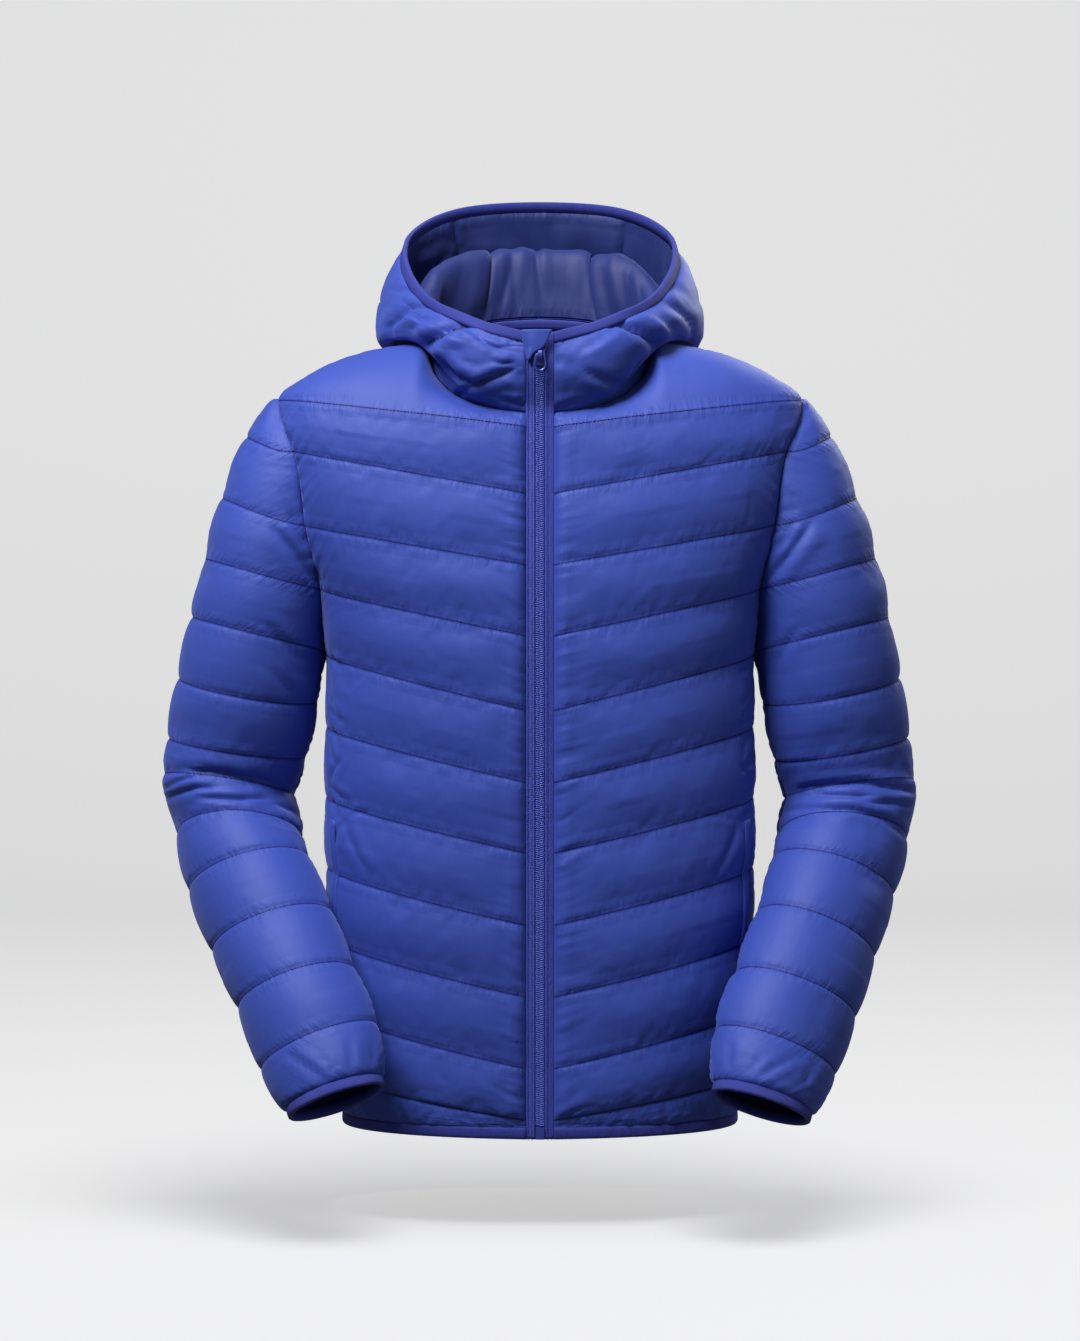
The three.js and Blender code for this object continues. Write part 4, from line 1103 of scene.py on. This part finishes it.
ZIP_LINE = eased(even_path(zip_path(), 3.0), 14)
ZIP_ON = unit(np.gradient(ZIP_LINE, axis=0))
ZIP_AWAY = unit(np.cross(ZIP_ON, np.array([1.0, 0, 0])))
ZIP_AWAY *= -np.sign(ZIP_AWAY[:, 1].mean())
SIDEWAYS = np.broadcast_to(np.array([1.0, 0, 0]), ZIP_LINE.shape)
# Across the tape: a rolled pipe by the teeth, a flat woven part and a sewn outer edge.
TAPE_SECTION = [(4.2, -1.6), (4.2, 0.5), (4.9, 1.0), (5.8, 1.0), (6.6, 0.35), (7.2, 0.2)]
TAPE_SECTION += [(9.4, 0.25), (9.9, 0.05), (10.3, 0.3), (11.2, 0.25), (12.3, -0.4), (12.3, -1.6)]


def zip_tapes():
    made = {}
    for side, sign in (("left", 1.0), ("right", -1.0)):
        section = [(across * sign, off) for across, off in TAPE_SECTION]
        made["zip_tape_" + side] = swept("zip_edge_" + side, ZIP_LINE, SIDEWAYS, ZIP_AWAY, section, False)
    core = [(-4.4, -1.6), (-4.4, -0.4), (-1.5, 0.0), (1.5, 0.0), (4.4, -0.4), (4.4, -1.6)]
    made["zip_chain"] = swept("zip_cord", ZIP_LINE, SIDEWAYS, ZIP_AWAY, core, False)
    return made


def bead(name, long, wide, deep, sides=6):
    """A little loop of thread or nylon, long in x: three rings and two ends."""
    rings = [(-0.5, 0.35), (-0.36, 0.9), (0.36, 0.9), (0.5, 0.35)]
    points = []
    for at, size in rings:
        for k in range(sides):
            turn = 2 * math.pi * k / sides
            y, z = math.cos(turn) * size * wide / 2, math.sin(turn) * size * deep / 2
            points.append((at * long, y, z))
    obj = add_mesh(name, points, tube_faces(len(rings), sides))
    obj.hide_render = obj.hide_viewport = True
    return obj


def repeat_tree(name):
    """Geometry Nodes: an object on every point, turned to its stored way, then made real."""
    tree = bpy.data.node_groups.new(name, "GeometryNodeTree")
    face = tree.interface
    face.new_socket("Geometry", in_out="INPUT", socket_type="NodeSocketGeometry")
    for label, kind in (("Piece", "NodeSocketObject"), ("Material", "NodeSocketMaterial")):
        face.new_socket(label, in_out="INPUT", socket_type=kind)
    for label, value in (("Size Spread", 0.08), ("Seed", 3)):
        kind = "NodeSocketInt" if label == "Seed" else "NodeSocketFloat"
        face.new_socket(label, in_out="INPUT", socket_type=kind).default_value = value
    face.new_socket("Geometry", in_out="OUTPUT", socket_type="NodeSocketGeometry")
    nodes, link = tree.nodes, tree.links.new
    start, end = nodes.new("NodeGroupInput"), nodes.new("NodeGroupOutput")
    info = nodes.new("GeometryNodeObjectInfo")
    put = nodes.new("GeometryNodeInstanceOnPoints")
    along, away = nodes.new("GeometryNodeInputNamedAttribute"), nodes.new("GeometryNodeInputNamedAttribute")
    for node, label in ((along, "along"), (away, "away")):
        node.data_type = "FLOAT_VECTOR"
        node.inputs["Name"].default_value = label
    first = nodes.new("FunctionNodeAlignRotationToVector")
    second = nodes.new("FunctionNodeAlignRotationToVector")
    first.axis, second.axis = "X", "Z"
    second.pivot_axis = "X"
    spread = nodes.new("FunctionNodeRandomValue")
    less, more = nodes.new("ShaderNodeMath"), nodes.new("ShaderNodeMath")
    less.operation, more.operation = "SUBTRACT", "ADD"
    less.inputs[0].default_value = more.inputs[0].default_value = 1.0
    real, paint = nodes.new("GeometryNodeRealizeInstances"), nodes.new("GeometryNodeSetMaterial")
    link(start.outputs["Geometry"], put.inputs["Points"])
    link(start.outputs["Piece"], info.inputs["Object"])
    link(info.outputs["Geometry"], put.inputs["Instance"])
    link(along.outputs["Attribute"], first.inputs["Vector"])
    link(first.outputs["Rotation"], second.inputs["Rotation"])
    link(away.outputs["Attribute"], second.inputs["Vector"])
    link(second.outputs["Rotation"], put.inputs["Rotation"])
    link(start.outputs["Size Spread"], less.inputs[1])
    link(start.outputs["Size Spread"], more.inputs[1])
    link(less.outputs[0], spread.inputs[2])
    link(more.outputs[0], spread.inputs[3])
    link(start.outputs["Seed"], spread.inputs["Seed"])
    link(spread.outputs[1], put.inputs["Scale"])
    link(put.outputs["Instances"], real.inputs["Geometry"])
    link(real.outputs["Geometry"], paint.inputs["Geometry"])
    link(start.outputs["Material"], paint.inputs["Material"])
    link(paint.outputs["Geometry"], end.inputs["Geometry"])
    return tree


REPEAT = repeat_tree("repeat along a seam")


def repeated(name, points, along, away, piece, material, spread=0.08, seed=3):
    """Puts a small piece on every point and gives them back as one plain mesh."""
    source = add_mesh(name + "_points", points, [])
    add_vectors(source, "along", along)
    add_vectors(source, "away", away)
    modifier = source.modifiers.new("repeat", "NODES")
    modifier.node_group = REPEAT
    values = {"Piece": piece, "Material": material, "Size Spread": spread, "Seed": seed}
    for item in REPEAT.interface.items_tree:
        if item.in_out == "INPUT" and item.name in values:
            modifier[item.identifier] = values[item.name]
    source.update_tag()
    graph = bpy.context.evaluated_depsgraph_get()
    mesh = bpy.data.meshes.new_from_object(source.evaluated_get(graph), depsgraph=graph)
    bpy.data.objects.remove(source)
    obj = new_object(name, mesh)
    mesh.polygons.foreach_set("use_smooth", [True] * len(mesh.polygons))
    print(name, "pieces", len(points), "faces", len(mesh.polygons))
    return obj


def coil_teeth(material):
    """Both rows of loops, each leaning a little towards the other row's."""
    loop_piece = bead("tooth", TOOTH_LONG, TOOTH_WIDE, 1.3)
    path = even_path(ZIP_LINE[4:], TOOTH_PITCH / 2)
    on = unit(np.gradient(path, axis=0))
    away = unit(np.cross(on, np.array([1.0, 0, 0])))
    away *= -np.sign(away[:, 1].mean())
    side = np.where(np.arange(len(path)) % 2 == 0, 1.0, -1.0)[:, None]
    across = np.array([1.0, 0, 0]) * side
    lean = unit(across + 0.14 * on)
    centre = path + across * 1.75 + away * 0.35
    return repeated("zip_coil_teeth", centre, lean, away, loop_piece, material, 0.0)


# %% [markdown]
# ## Garage, pocket welts and neck tape
# Small folded strips. The garage is a tab folded over the zip's top end, the welts are turned
# edges sewn on the fronts, and a strip of knitted tape hides the back neck seam.


# %% Small folded pieces
GARAGE_ROWS = [
    (9, -16, -3, 10),
    (3, -15.4, -4, 7.6),
    (-3, -14.3, -5, 4.4),
    (-6.5, -13.4, -6, 1.5),
    (-10, -12.4, -8.4, -4.9),
    (-16, -11, -9.8, -8.8),
]
GARAGE_BACK = -103.4
GARAGE_FRONT = -106.2


def slab(name, outside, inside):
    """Two matching grids of points, closed round their edges with a soft rounded rim."""
    rows, columns = outside.shape[:2]
    middle = (outside + inside) / 2
    faces = grid_faces(rows, columns) + grid_faces(rows, columns, True, rows * columns)
    border = grid_border(rows, columns)
    centre = middle.mean((0, 1))
    thick = np.linalg.norm(outside - inside, axis=-1).mean()
    lip = np.array([middle[rc] + unit(middle[rc] - centre) * thick * 0.4 for rc in border])
    first = 2 * rows * columns
    for k in range(len(border)):
        nxt = (k + 1) % len(border)
        a, b = border[k][0] * columns + border[k][1], border[nxt][0] * columns + border[nxt][1]
        faces.append((b, a, first + k, first + nxt))
        faces.append((first + nxt, first + k, rows * columns + a, rows * columns + b))
    obj = add_mesh(name, np.concatenate([outside.reshape(-1, 3), inside.reshape(-1, 3), lip]), faces)
    face_outward(obj)
    return obj


def garage_piece():
    rows = sorted(GARAGE_ROWS)
    z = np.linspace(-16, 9, 26)
    left, middle, right = np.moveaxis(through(rows, z), -1, 0)
    across = np.linspace(0, 1, 15)[None, :]
    x = left[:, None] + (right - left)[:, None] * across
    bend = np.clip((x - left[:, None]) / np.maximum((middle - left)[:, None], 1), 0, 1)
    depth = GARAGE_BACK + (GARAGE_FRONT - GARAGE_BACK) * (bend * bend * (3 - 2 * bend))
    fold = 0.5 * np.sin(np.pi * across) + 0.35 * np.sin(3.2 * across + z[:, None] * 0.25)
    inside = stack(x, depth - 0.2 * fold, z[:, None] + 0 * x)
    outside = inside - np.array([0, 1.2, 0]) - stack(0 * x, 0.5 * fold, 0 * x)
    return slab("zip_garage_tab", outside, inside)


def welt_piece(side, cloth):
    """A turned edge along the pocket's mouth, on the front's own outside."""
    u, v = cloth["u"], cloth["v"]
    reach = np.abs(u) if u.max() > 0 else -u
    rows = np.linspace(7.25, 9.75, 46)
    columns = np.linspace(0.715, 0.765, 7)
    order = np.argsort(reach)
    r = np.interp(rows, v, np.arange(len(v)))[:, None]
    c = np.interp(columns, reach[order], np.arange(len(u))[order])[None, :]
    place = sample(cloth["base"] + cloth["normal"] * cloth["plain_rise"][..., None], r, c)
    normal = unit(sample(cloth["normal"], r, c))
    crown = 0.7 + 1.1 * np.sin(np.pi * np.linspace(0, 1, 7))[None, :, None]
    return slab("pocket_edge_" + side, place + normal * (crown + 0.5), place - normal * 0.7)


def sample(grid, r, c):
    """Values between the points of a grid."""
    r, c = np.broadcast_arrays(r, c)
    i = np.clip(r.astype(int), 0, grid.shape[0] - 2)
    j = np.clip(c.astype(int), 0, grid.shape[1] - 2)
    f, g = (r - i)[..., None], (c - j)[..., None]
    top = grid[i, j] * (1 - g) + grid[i, j + 1] * g
    return top * (1 - f) + (grid[i + 1, j] * (1 - g) + grid[i + 1, j + 1] * g) * f


NECK_TAPE_TALL = 9.0


def neck_tape_piece():
    u = np.linspace(-NECK_AT / 2, NECK_AT / 2, 61)
    v = np.linspace(0, 0.12, 5)
    grid = back(u[None, :], v[:, None])
    normal = normals_of(grid, facing_sign(grid))[0]
    on = unit(back(u, np.ones(u.shape)) - grid[0])
    drop = np.array([0.5, 1.0, 3.0, 6.0, 8.4, NECK_TAPE_TALL])[:, None, None]
    crown = np.array([0.0, 0.5, 0.8, 0.8, 0.5, 0.0])[:, None, None]
    face = grid[0][None] - normal[None] * (WALL + 0.9) + on[None] * drop
    return slab("neck_seam_tape", face, face - normal[None] * (0.6 + crown))


def facing_sign(grid):
    """The body's cloth faces away from the point in the middle of the trunk."""
    own = np.cross(np.gradient(grid, axis=1), np.gradient(grid, axis=0))
    return 1.0 if (own * (grid - np.array([0, 0, -150.0]))).sum() > 0 else -1.0


# %% [markdown]
# ## Stitching
# Lockstitch in thread a shade darker than the cloth, about three millimetres a stitch, at the
# bottom of every quilt line. Each run is real thread, laid by the same Geometry Nodes.


# %% Stitch lines
STITCH_PITCH = 3.1
STITCH_LONG = 2.3


def seam_points(line, pitch=STITCH_PITCH):
    length = walked(line)
    at = np.arange(pitch / 2, length[-1], pitch)
    points = np.stack([np.interp(at, length, line[:, k]) for k in range(3)], -1)
    return points, unit(np.gradient(points, axis=0))


def quilt_seams(cloth, stitches, last=2.0):
    """Where the thread lies on one quilted piece: points, ways along and ways out."""
    points, along, away = [], [], []
    for s in stitches:
        row = int(np.argmin(np.abs(cloth["v"] - s)))
        kept = np.abs(cloth["u"]) <= last
        line = cloth["outside"][row][kept]
        at, on = seam_points(line)
        normal = np.stack([np.interp(np.linspace(0, len(line) - 1, len(at)), np.arange(len(line)),
                                     cloth["normal"][row][kept][:, k]) for k in range(3)], -1)
        points.append(at + normal * 0.25)
        along.append(on)
        away.append(normal)
    return [np.concatenate(part) for part in (points, along, away)]


# %% [markdown]
# ## Materials
# Named for what they are. Colours are screen colours, turned to linear light by one function.
# Patterns are sized in real millimetres, from each piece's own places or object coordinates.


# %% Materials
def linear(code):
    parts = [int(code[k : k + 2], 16) / 255 for k in (0, 2, 4)]
    return tuple(c / 12.92 if c < 0.04045 else ((c + 0.055) / 1.055) ** 2.4 for c in parts) + (1.0,)


def new_material(name, colour, roughness):
    material = bpy.data.materials.new(name)
    material.use_nodes = True
    shader = material.node_tree.nodes["Principled BSDF"]
    shader.inputs["Base Color"].default_value = linear(colour)
    shader.inputs["Roughness"].default_value = roughness
    return material, shader


def add_node(material, kind, links=(), settings=(), **values):
    """Adds a node. Links are (socket, output), settings are the node's own, values its sockets'."""
    node = material.node_tree.nodes.new(kind)
    for key, value in settings:
        setattr(node, key, value)
    for key, value in values.items():
        node.inputs[key.replace("_", " ")].default_value = value
    for socket, output in links:
        material.node_tree.links.new(output, node.inputs[socket])
    return node


def math_node(material, operation, first, second):
    """One sum of two values, each a number or another node's output."""
    node = material.node_tree.nodes.new("ShaderNodeMath")
    node.operation = operation
    for socket, value in zip(node.inputs, (first, second)):
        if isinstance(value, (int, float)):
            socket.default_value = value
        else:
            material.node_tree.links.new(value, socket)
    return node.outputs[0]


def crinkles(material, reach, strength):
    """Short dry creases across a seam: strongest on the stitches, gone after reach mm."""
    place = add_node(material, "ShaderNodeAttribute", settings=[("attribute_name", "place")])
    split = add_node(material, "ShaderNodeSeparateXYZ", [("Vector", place.outputs["Vector"])])
    across = math_node(material, "MULTIPLY", split.outputs["X"], 1 / 4.2)
    down = math_node(material, "MULTIPLY", split.outputs["Z"], 1 / 22.0)
    lines = math_node(material, "MULTIPLY", split.outputs["Y"], 3.7)
    where = add_node(material, "ShaderNodeCombineXYZ", [("X", across), ("Y", down), ("Z", lines)])
    noise = add_node(material, "ShaderNodeTexNoise", [("Vector", where.outputs["Vector"])],
                     Scale=1.0, Detail=2.0, Roughness=0.5)
    fade = add_node(material, "ShaderNodeMapRange", [("Value", split.outputs["Z"])],
                    From_Min=0.0, From_Max=reach, To_Min=strength, To_Max=strength * 0.12)
    return math_node(material, "MULTIPLY", noise.outputs["Fac"], fade.outputs["Result"])


def weave(material, pitch):
    """A plain weave: two sets of threads at right angles, in metres of object space."""
    place = add_node(material, "ShaderNodeTexCoord")
    waves = []
    for direction in ("X", "Z"):
        wave = add_node(material, "ShaderNodeTexWave", [("Vector", place.outputs["Object"])],
                        settings=[("bands_direction", direction)], Scale=math.pi / (10 * pitch))
        waves.append(wave.outputs["Fac"])
    return math_node(material, "MULTIPLY", *waves), place


def bump(material, shader, height, distance, strength=1.0, after=None):
    node = add_node(material, "ShaderNodeBump", [("Height", height)], Strength=strength, Distance=distance)
    if after is not None:
        material.node_tree.links.new(after, node.inputs["Normal"])
    material.node_tree.links.new(node.outputs["Normal"], shader.inputs["Normal"])
    return node.outputs["Normal"]


def varied(material, shader, first, second, scale):
    """The colour drifts between two near shades, as dyed cloth does."""
    place = add_node(material, "ShaderNodeTexCoord")
    noise = add_node(material, "ShaderNodeTexNoise", [("Vector", place.outputs["Object"])],
                     Scale=scale, Detail=3.0)
    mix = add_node(material, "ShaderNodeMix", [("Factor", noise.outputs["Fac"])], [("data_type", "RGBA")])
    mix.inputs["A"].default_value = mix.inputs[6].default_value = linear(first)
    mix.inputs[7].default_value = linear(second)
    material.node_tree.links.new(mix.outputs[2], shader.inputs["Base Color"])
    return mix.outputs[2]


# How far from a stitch line the painted seam shade reaches, in mm.
PAINTED_SHADE_MM = 1.6


def painted_seam_shade(material, shader, dyed):
    """Painted shade: the colour turns deeper towards each stitch line, where the cloth pinched under the
    thread takes no light.
    """
    place = add_node(material, "ShaderNodeAttribute", settings=[("attribute_name", "place")])
    split = add_node(material, "ShaderNodeSeparateXYZ", [("Vector", place.outputs["Vector"])])
    share = add_node(material, "ShaderNodeMapRange", [("Value", split.outputs["Z"])],
                     From_Min=0.3, From_Max=PAINTED_SHADE_MM, To_Min=0.0, To_Max=1.0)
    mix = add_node(material, "ShaderNodeMix", [("Factor", share.outputs["Result"])], [("data_type", "RGBA")])
    # The painted shade's colour, right at the stitch line.
    mix.inputs[6].default_value = linear("1F2C80")
    material.node_tree.links.new(dyed, mix.inputs[7])
    material.node_tree.links.new(mix.outputs[2], shader.inputs["Base Color"])


def nylon(name, first_blue, second_blue, quilted_cloth=True):
    """Smooth woven nylon: a soft sheen, a fine weave, small dry creases at the seams and, on quilted cloth,
    painted shade along the stitch lines.
    """
    material, shader = new_material(name, CLOTH_BLUE, 0.6)
    shader.inputs["Specular IOR Level"].default_value = 0.32
    shader.inputs["Sheen Weight"].default_value = 0.3
    shader.inputs["Sheen Roughness"].default_value = 0.45
    shader.inputs["Sheen Tint"].default_value = linear("93A2EE")
    dyed = varied(material, shader, first_blue, second_blue, 9.0)
    first = None
    if quilted_cloth:
        # Painted shade along every stitch line.
        painted_seam_shade(material, shader, dyed)
        first = bump(material, shader, crinkles(material, 11.0, 1.0), 0.0016)
    threads, place = weave(material, 0.00045)
    second = bump(material, shader, threads, 0.00004, 0.25, first)
    soft = add_node(material, "ShaderNodeTexNoise", [("Vector", place.outputs["Object"])],
                    Scale=55.0, Detail=3.0)
    bump(material, shader, soft.outputs["Fac"], 0.001, 0.22, second)
    return material


def ribbed(name, colour, second_colour, roughness, pitch, deep):
    """Narrow woven or knitted goods: ribs across, by the piece's own length in mm."""
    material, shader = new_material(name, colour, roughness)
    varied(material, shader, colour, second_colour, 40.0)
    place = add_node(material, "ShaderNodeAttribute", settings=[("attribute_name", "place")])
    scaled = add_node(material, "ShaderNodeMapping", [("Vector", place.outputs["Vector"])])
    scaled.inputs["Scale"].default_value = (1 / pitch, 1 / pitch, 1 / pitch)
    wave = add_node(material, "ShaderNodeTexWave", [("Vector", scaled.outputs["Vector"])],
                    settings=[("bands_direction", "X")], Scale=0.314, Distortion=0.5)
    bump(material, shader, wave.outputs["Fac"], deep, 0.8)
    return material


def plain_with_grain(name, colour, roughness, metallic=0.0, scale=900.0):
    material, shader = new_material(name, colour, roughness)
    shader.inputs["Metallic"].default_value = metallic
    place = add_node(material, "ShaderNodeTexCoord")
    noise = add_node(material, "ShaderNodeTexNoise", [("Vector", place.outputs["Object"])],
                     Scale=scale, Detail=2.0)
    bump(material, shader, noise.outputs["Fac"], 0.0001, 0.3)
    rough = add_node(material, "ShaderNodeMapRange", [("Value", noise.outputs["Fac"])],
                     To_Min=roughness - 0.06, To_Max=roughness + 0.08)
    material.node_tree.links.new(rough.outputs["Result"], shader.inputs["Roughness"])
    return material


CLOTH_BLUE = "2C41A2"
NYLON = nylon("royal blue nylon", "2E429A", "344BA9")
# Painted shade: a darker copy of the same nylon for the inside faces, standing in for the shade inside the
# jacket and hood.
NYLON_SHADED_INSIDE = nylon("royal blue nylon, painted shade inside", "18255F", "1D2C70")
NYLON_STRIP = nylon("royal blue nylon, folded strip", "2E429A", "344BA9", quilted_cloth=False)
BINDING = ribbed("knitted elastic binding", "242F86", "2B3798", 0.75, 1.1, 0.0004)
TAPE = ribbed("woven zip tape", "2B379A", "3341A8", 0.7, 0.8, 0.0002)
ZIP_CORE = ribbed("woven zip core", "222D86", "28349A", 0.7, 0.8, 0.0002)
COIL = plain_with_grain("nylon zip coil", "5262C8", 0.4)
THREAD = plain_with_grain("polyester thread", "1A2576", 0.8)
THREAD.node_tree.nodes["Principled BSDF"].inputs["Specular IOR Level"].default_value = 0.15
METAL = plain_with_grain("blue lacquered zip metal", "39479F", 0.3, 0.3)

# %% [markdown]
# ## Dressing the pieces
# Every piece rides on its body and stands for its solid.


# %% Dress and ride
def settle_piece(obj, material, slot, *nodes, inside=None):
    if inside is None:
        obj.data.materials.clear()
        obj.data.materials.append(material)
    else:
        obj.data.materials[0] = material
        obj.data.materials[1] = inside
    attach(obj, "jacket")
    if nodes:
        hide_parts(*nodes)


# The inside faces of each quilted piece take the painted-shade copy of the nylon.
for name, (obj, cloth) in quilted.items():
    settle_piece(obj, NYLON, "shell_cloth", name, inside=NYLON_SHADED_INSIDE)

for name, (obj, length) in bindings.items():
    settle_piece(obj, BINDING, "elastic_binding", name)

for name, (obj, length) in zip_tapes().items():
    if name == "zip_chain":
        settle_piece(obj, ZIP_CORE, "zip_plastic", name)
    else:
        settle_piece(obj, TAPE, "zip_tape_cloth", name)

teeth = coil_teeth(COIL)
settle_piece(teeth, COIL, "zip_plastic")

garage = garage_piece()
settle_piece(garage, NYLON_STRIP, "shell_cloth", "zip_garage")
for side in ("right", "left"):
    welt = welt_piece(side, quilted["front_" + side][1])
    settle_piece(welt, NYLON_STRIP, "shell_cloth", "pocket_welt_" + side)
tape = neck_tape_piece()
settle_piece(tape, BINDING, "elastic_binding", "neck_tape")

for name in ("zip_slider", "zip_pull", "zip_box"):
    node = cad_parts[name]
    node.data.materials.clear()
    node.data.materials.append(METAL)
    bevel = node.modifiers.new("rounded edges", "BEVEL")
    bevel.width = 0.0003
    bevel.segments = 2
    bevel.limit_method = "ANGLE"

HOOD_THREAD_ENDS = 0.45
thread_piece = bead("stitch", STITCH_LONG, 0.75, 0.5, 4)
for name, (obj, cloth) in quilted.items():
    stitches = PIECES[name][2]
    last = HOOD_THREAD_ENDS if name.startswith("hood") else 2.0
    points, along, away = quilt_seams(cloth, stitches[1:-1], last)
    thread = repeated("stitches_" + name, points, along, away * 1.0, thread_piece, THREAD)
    settle_piece(thread, THREAD, "shell_cloth")

ZIP_STITCH_ROWS = (6.9, 10.2)
zip_thread = bead("zip stitch", 1.9, 0.6, 0.45, 4)
for side, sign in (("left", 1.0), ("right", -1.0)):
    rows = []
    for across in ZIP_STITCH_ROWS:
        rows.append(even_path(ZIP_LINE + SIDEWAYS * across * sign + ZIP_AWAY * 0.45, 2.7))
    points = np.concatenate(rows)
    on = np.concatenate([np.gradient(row, axis=0) for row in rows])
    away = np.zeros(points.shape) + (0, -1, 0)
    thread = repeated("zip_stitches_" + side, points, unit(on), away, zip_thread, THREAD)
    settle_piece(thread, THREAD, "zip_tape_cloth")

# %% [markdown]
# ## Floor, light and camera
# A pale floor that bends up into a wall, four soft lights on the jacket, one on the paper,
# and the photograph's view.

# %% Stage
FLOOR_Z = -0.76
SWEEP = 1.2
SWEEP_FROM = 3.6
FLOOR_GLOW = 0.57
WALL_GLOW = 0.66


def backdrop():
    across = np.array([-5.0, 5.0])
    bend = np.linspace(0, math.pi / 2, 13)
    profile = [(-5.0, FLOOR_Z), (SWEEP_FROM, FLOOR_Z)]
    profile += [(SWEEP_FROM + SWEEP * math.sin(a), FLOOR_Z + SWEEP * (1 - math.cos(a))) for a in bend[1:]]
    profile += [(SWEEP_FROM + SWEEP, 5.0)]
    points = [(x / MM, y / MM, z / MM) for y, z in profile for x in across]
    faces = [(2 * k, 2 * k + 1, 2 * k + 3, 2 * k + 2) for k in range(len(profile) - 1)]
    obj = add_mesh("floor", points, faces)
    for polygon in obj.data.polygons:
        polygon.use_smooth = True
    paper, shader = new_material("pale paper", "F0F0F0", 0.85)
    shader.inputs["Emission Color"].default_value = linear("F0F0F0")
    place = add_node(paper, "ShaderNodeTexCoord")
    split = add_node(paper, "ShaderNodeSeparateXYZ", [("Vector", place.outputs["Object"])])
    glow = add_node(paper, "ShaderNodeMapRange", [("Value", split.outputs["Z"])],
                    From_Min=FLOOR_Z, From_Max=FLOOR_Z + SWEEP, To_Min=FLOOR_GLOW, To_Max=WALL_GLOW)
    paper.node_tree.links.new(glow.outputs["Result"], shader.inputs["Emission Strength"])
    obj.data.materials.append(paper)
    return obj


def lamp(name, place, target, size, power):
    light = bpy.data.lights.new(name, "AREA")
    light.shape = "DISK"
    light.size = size
    light.energy = power
    obj = bpy.data.objects.new(name, light)
    bpy.context.scene.collection.objects.link(obj)
    obj.location = place
    obj.rotation_euler = (Vector(target) - Vector(place)).to_track_quat("-Z", "Y").to_euler()
    return obj


MIDDLE = (0.0, 0.0, -0.28)
floor = backdrop()
# The paper is lit by a lamp of its own and throws no light back, so it stays pale while the
# jacket keeps the deep shade that it has in the photograph.
paper_only = bpy.data.collections.new("paper only")
paper_only.objects.link(floor)
floor.visible_diffuse = floor.visible_glossy = False
all_but_paper = bpy.data.collections.new("all but paper")
all_but_paper.objects.link(floor)
all_but_paper.collection_objects[0].light_linking.link_state = "EXCLUDE"
key = lamp("key light", (-1.05, -1.45, 2.1), (0.0, 0.0, -0.2), 1.2, 116)
fill_light = lamp("fill light", (2.0, -2.2, 0.2), MIDDLE, 2.0, 8)
top = lamp("top light", (-0.3, -0.5, 2.3), MIDDLE, 1.2, 20)
back_light = lamp("back light", (1.6, 2.5, 1.5), MIDDLE, 2.0, 55)
for light in (key, fill_light, top, back_light):
    light.light_linking.receiver_collection = all_but_paper
paper_light = lamp("paper light", (0.25, -0.7, 3.4), (0.0, 0.1, FLOOR_Z), 2.4, 62)
paper_light.light_linking.receiver_collection = paper_only

world = bpy.data.worlds.new("studio")
world.use_nodes = True
world.node_tree.nodes["Background"].inputs["Color"].default_value = linear("F4F5F8")
world.node_tree.nodes["Background"].inputs["Strength"].default_value = 0.14
bpy.context.scene.world = world

camera_data = bpy.data.cameras.new("camera")
camera_data.lens = 90.5
camera_data.sensor_width = 36
camera = bpy.data.objects.new("camera", camera_data)
bpy.context.scene.collection.objects.link(camera)
camera.location = (0, -3.0, -0.2835)
camera.rotation_euler = (math.pi / 2, 0, 0)
bpy.context.scene.camera = camera
# The plain transform keeps the cloth the colour that its hex code names.
bpy.context.scene.view_settings.view_transform = "Standard"
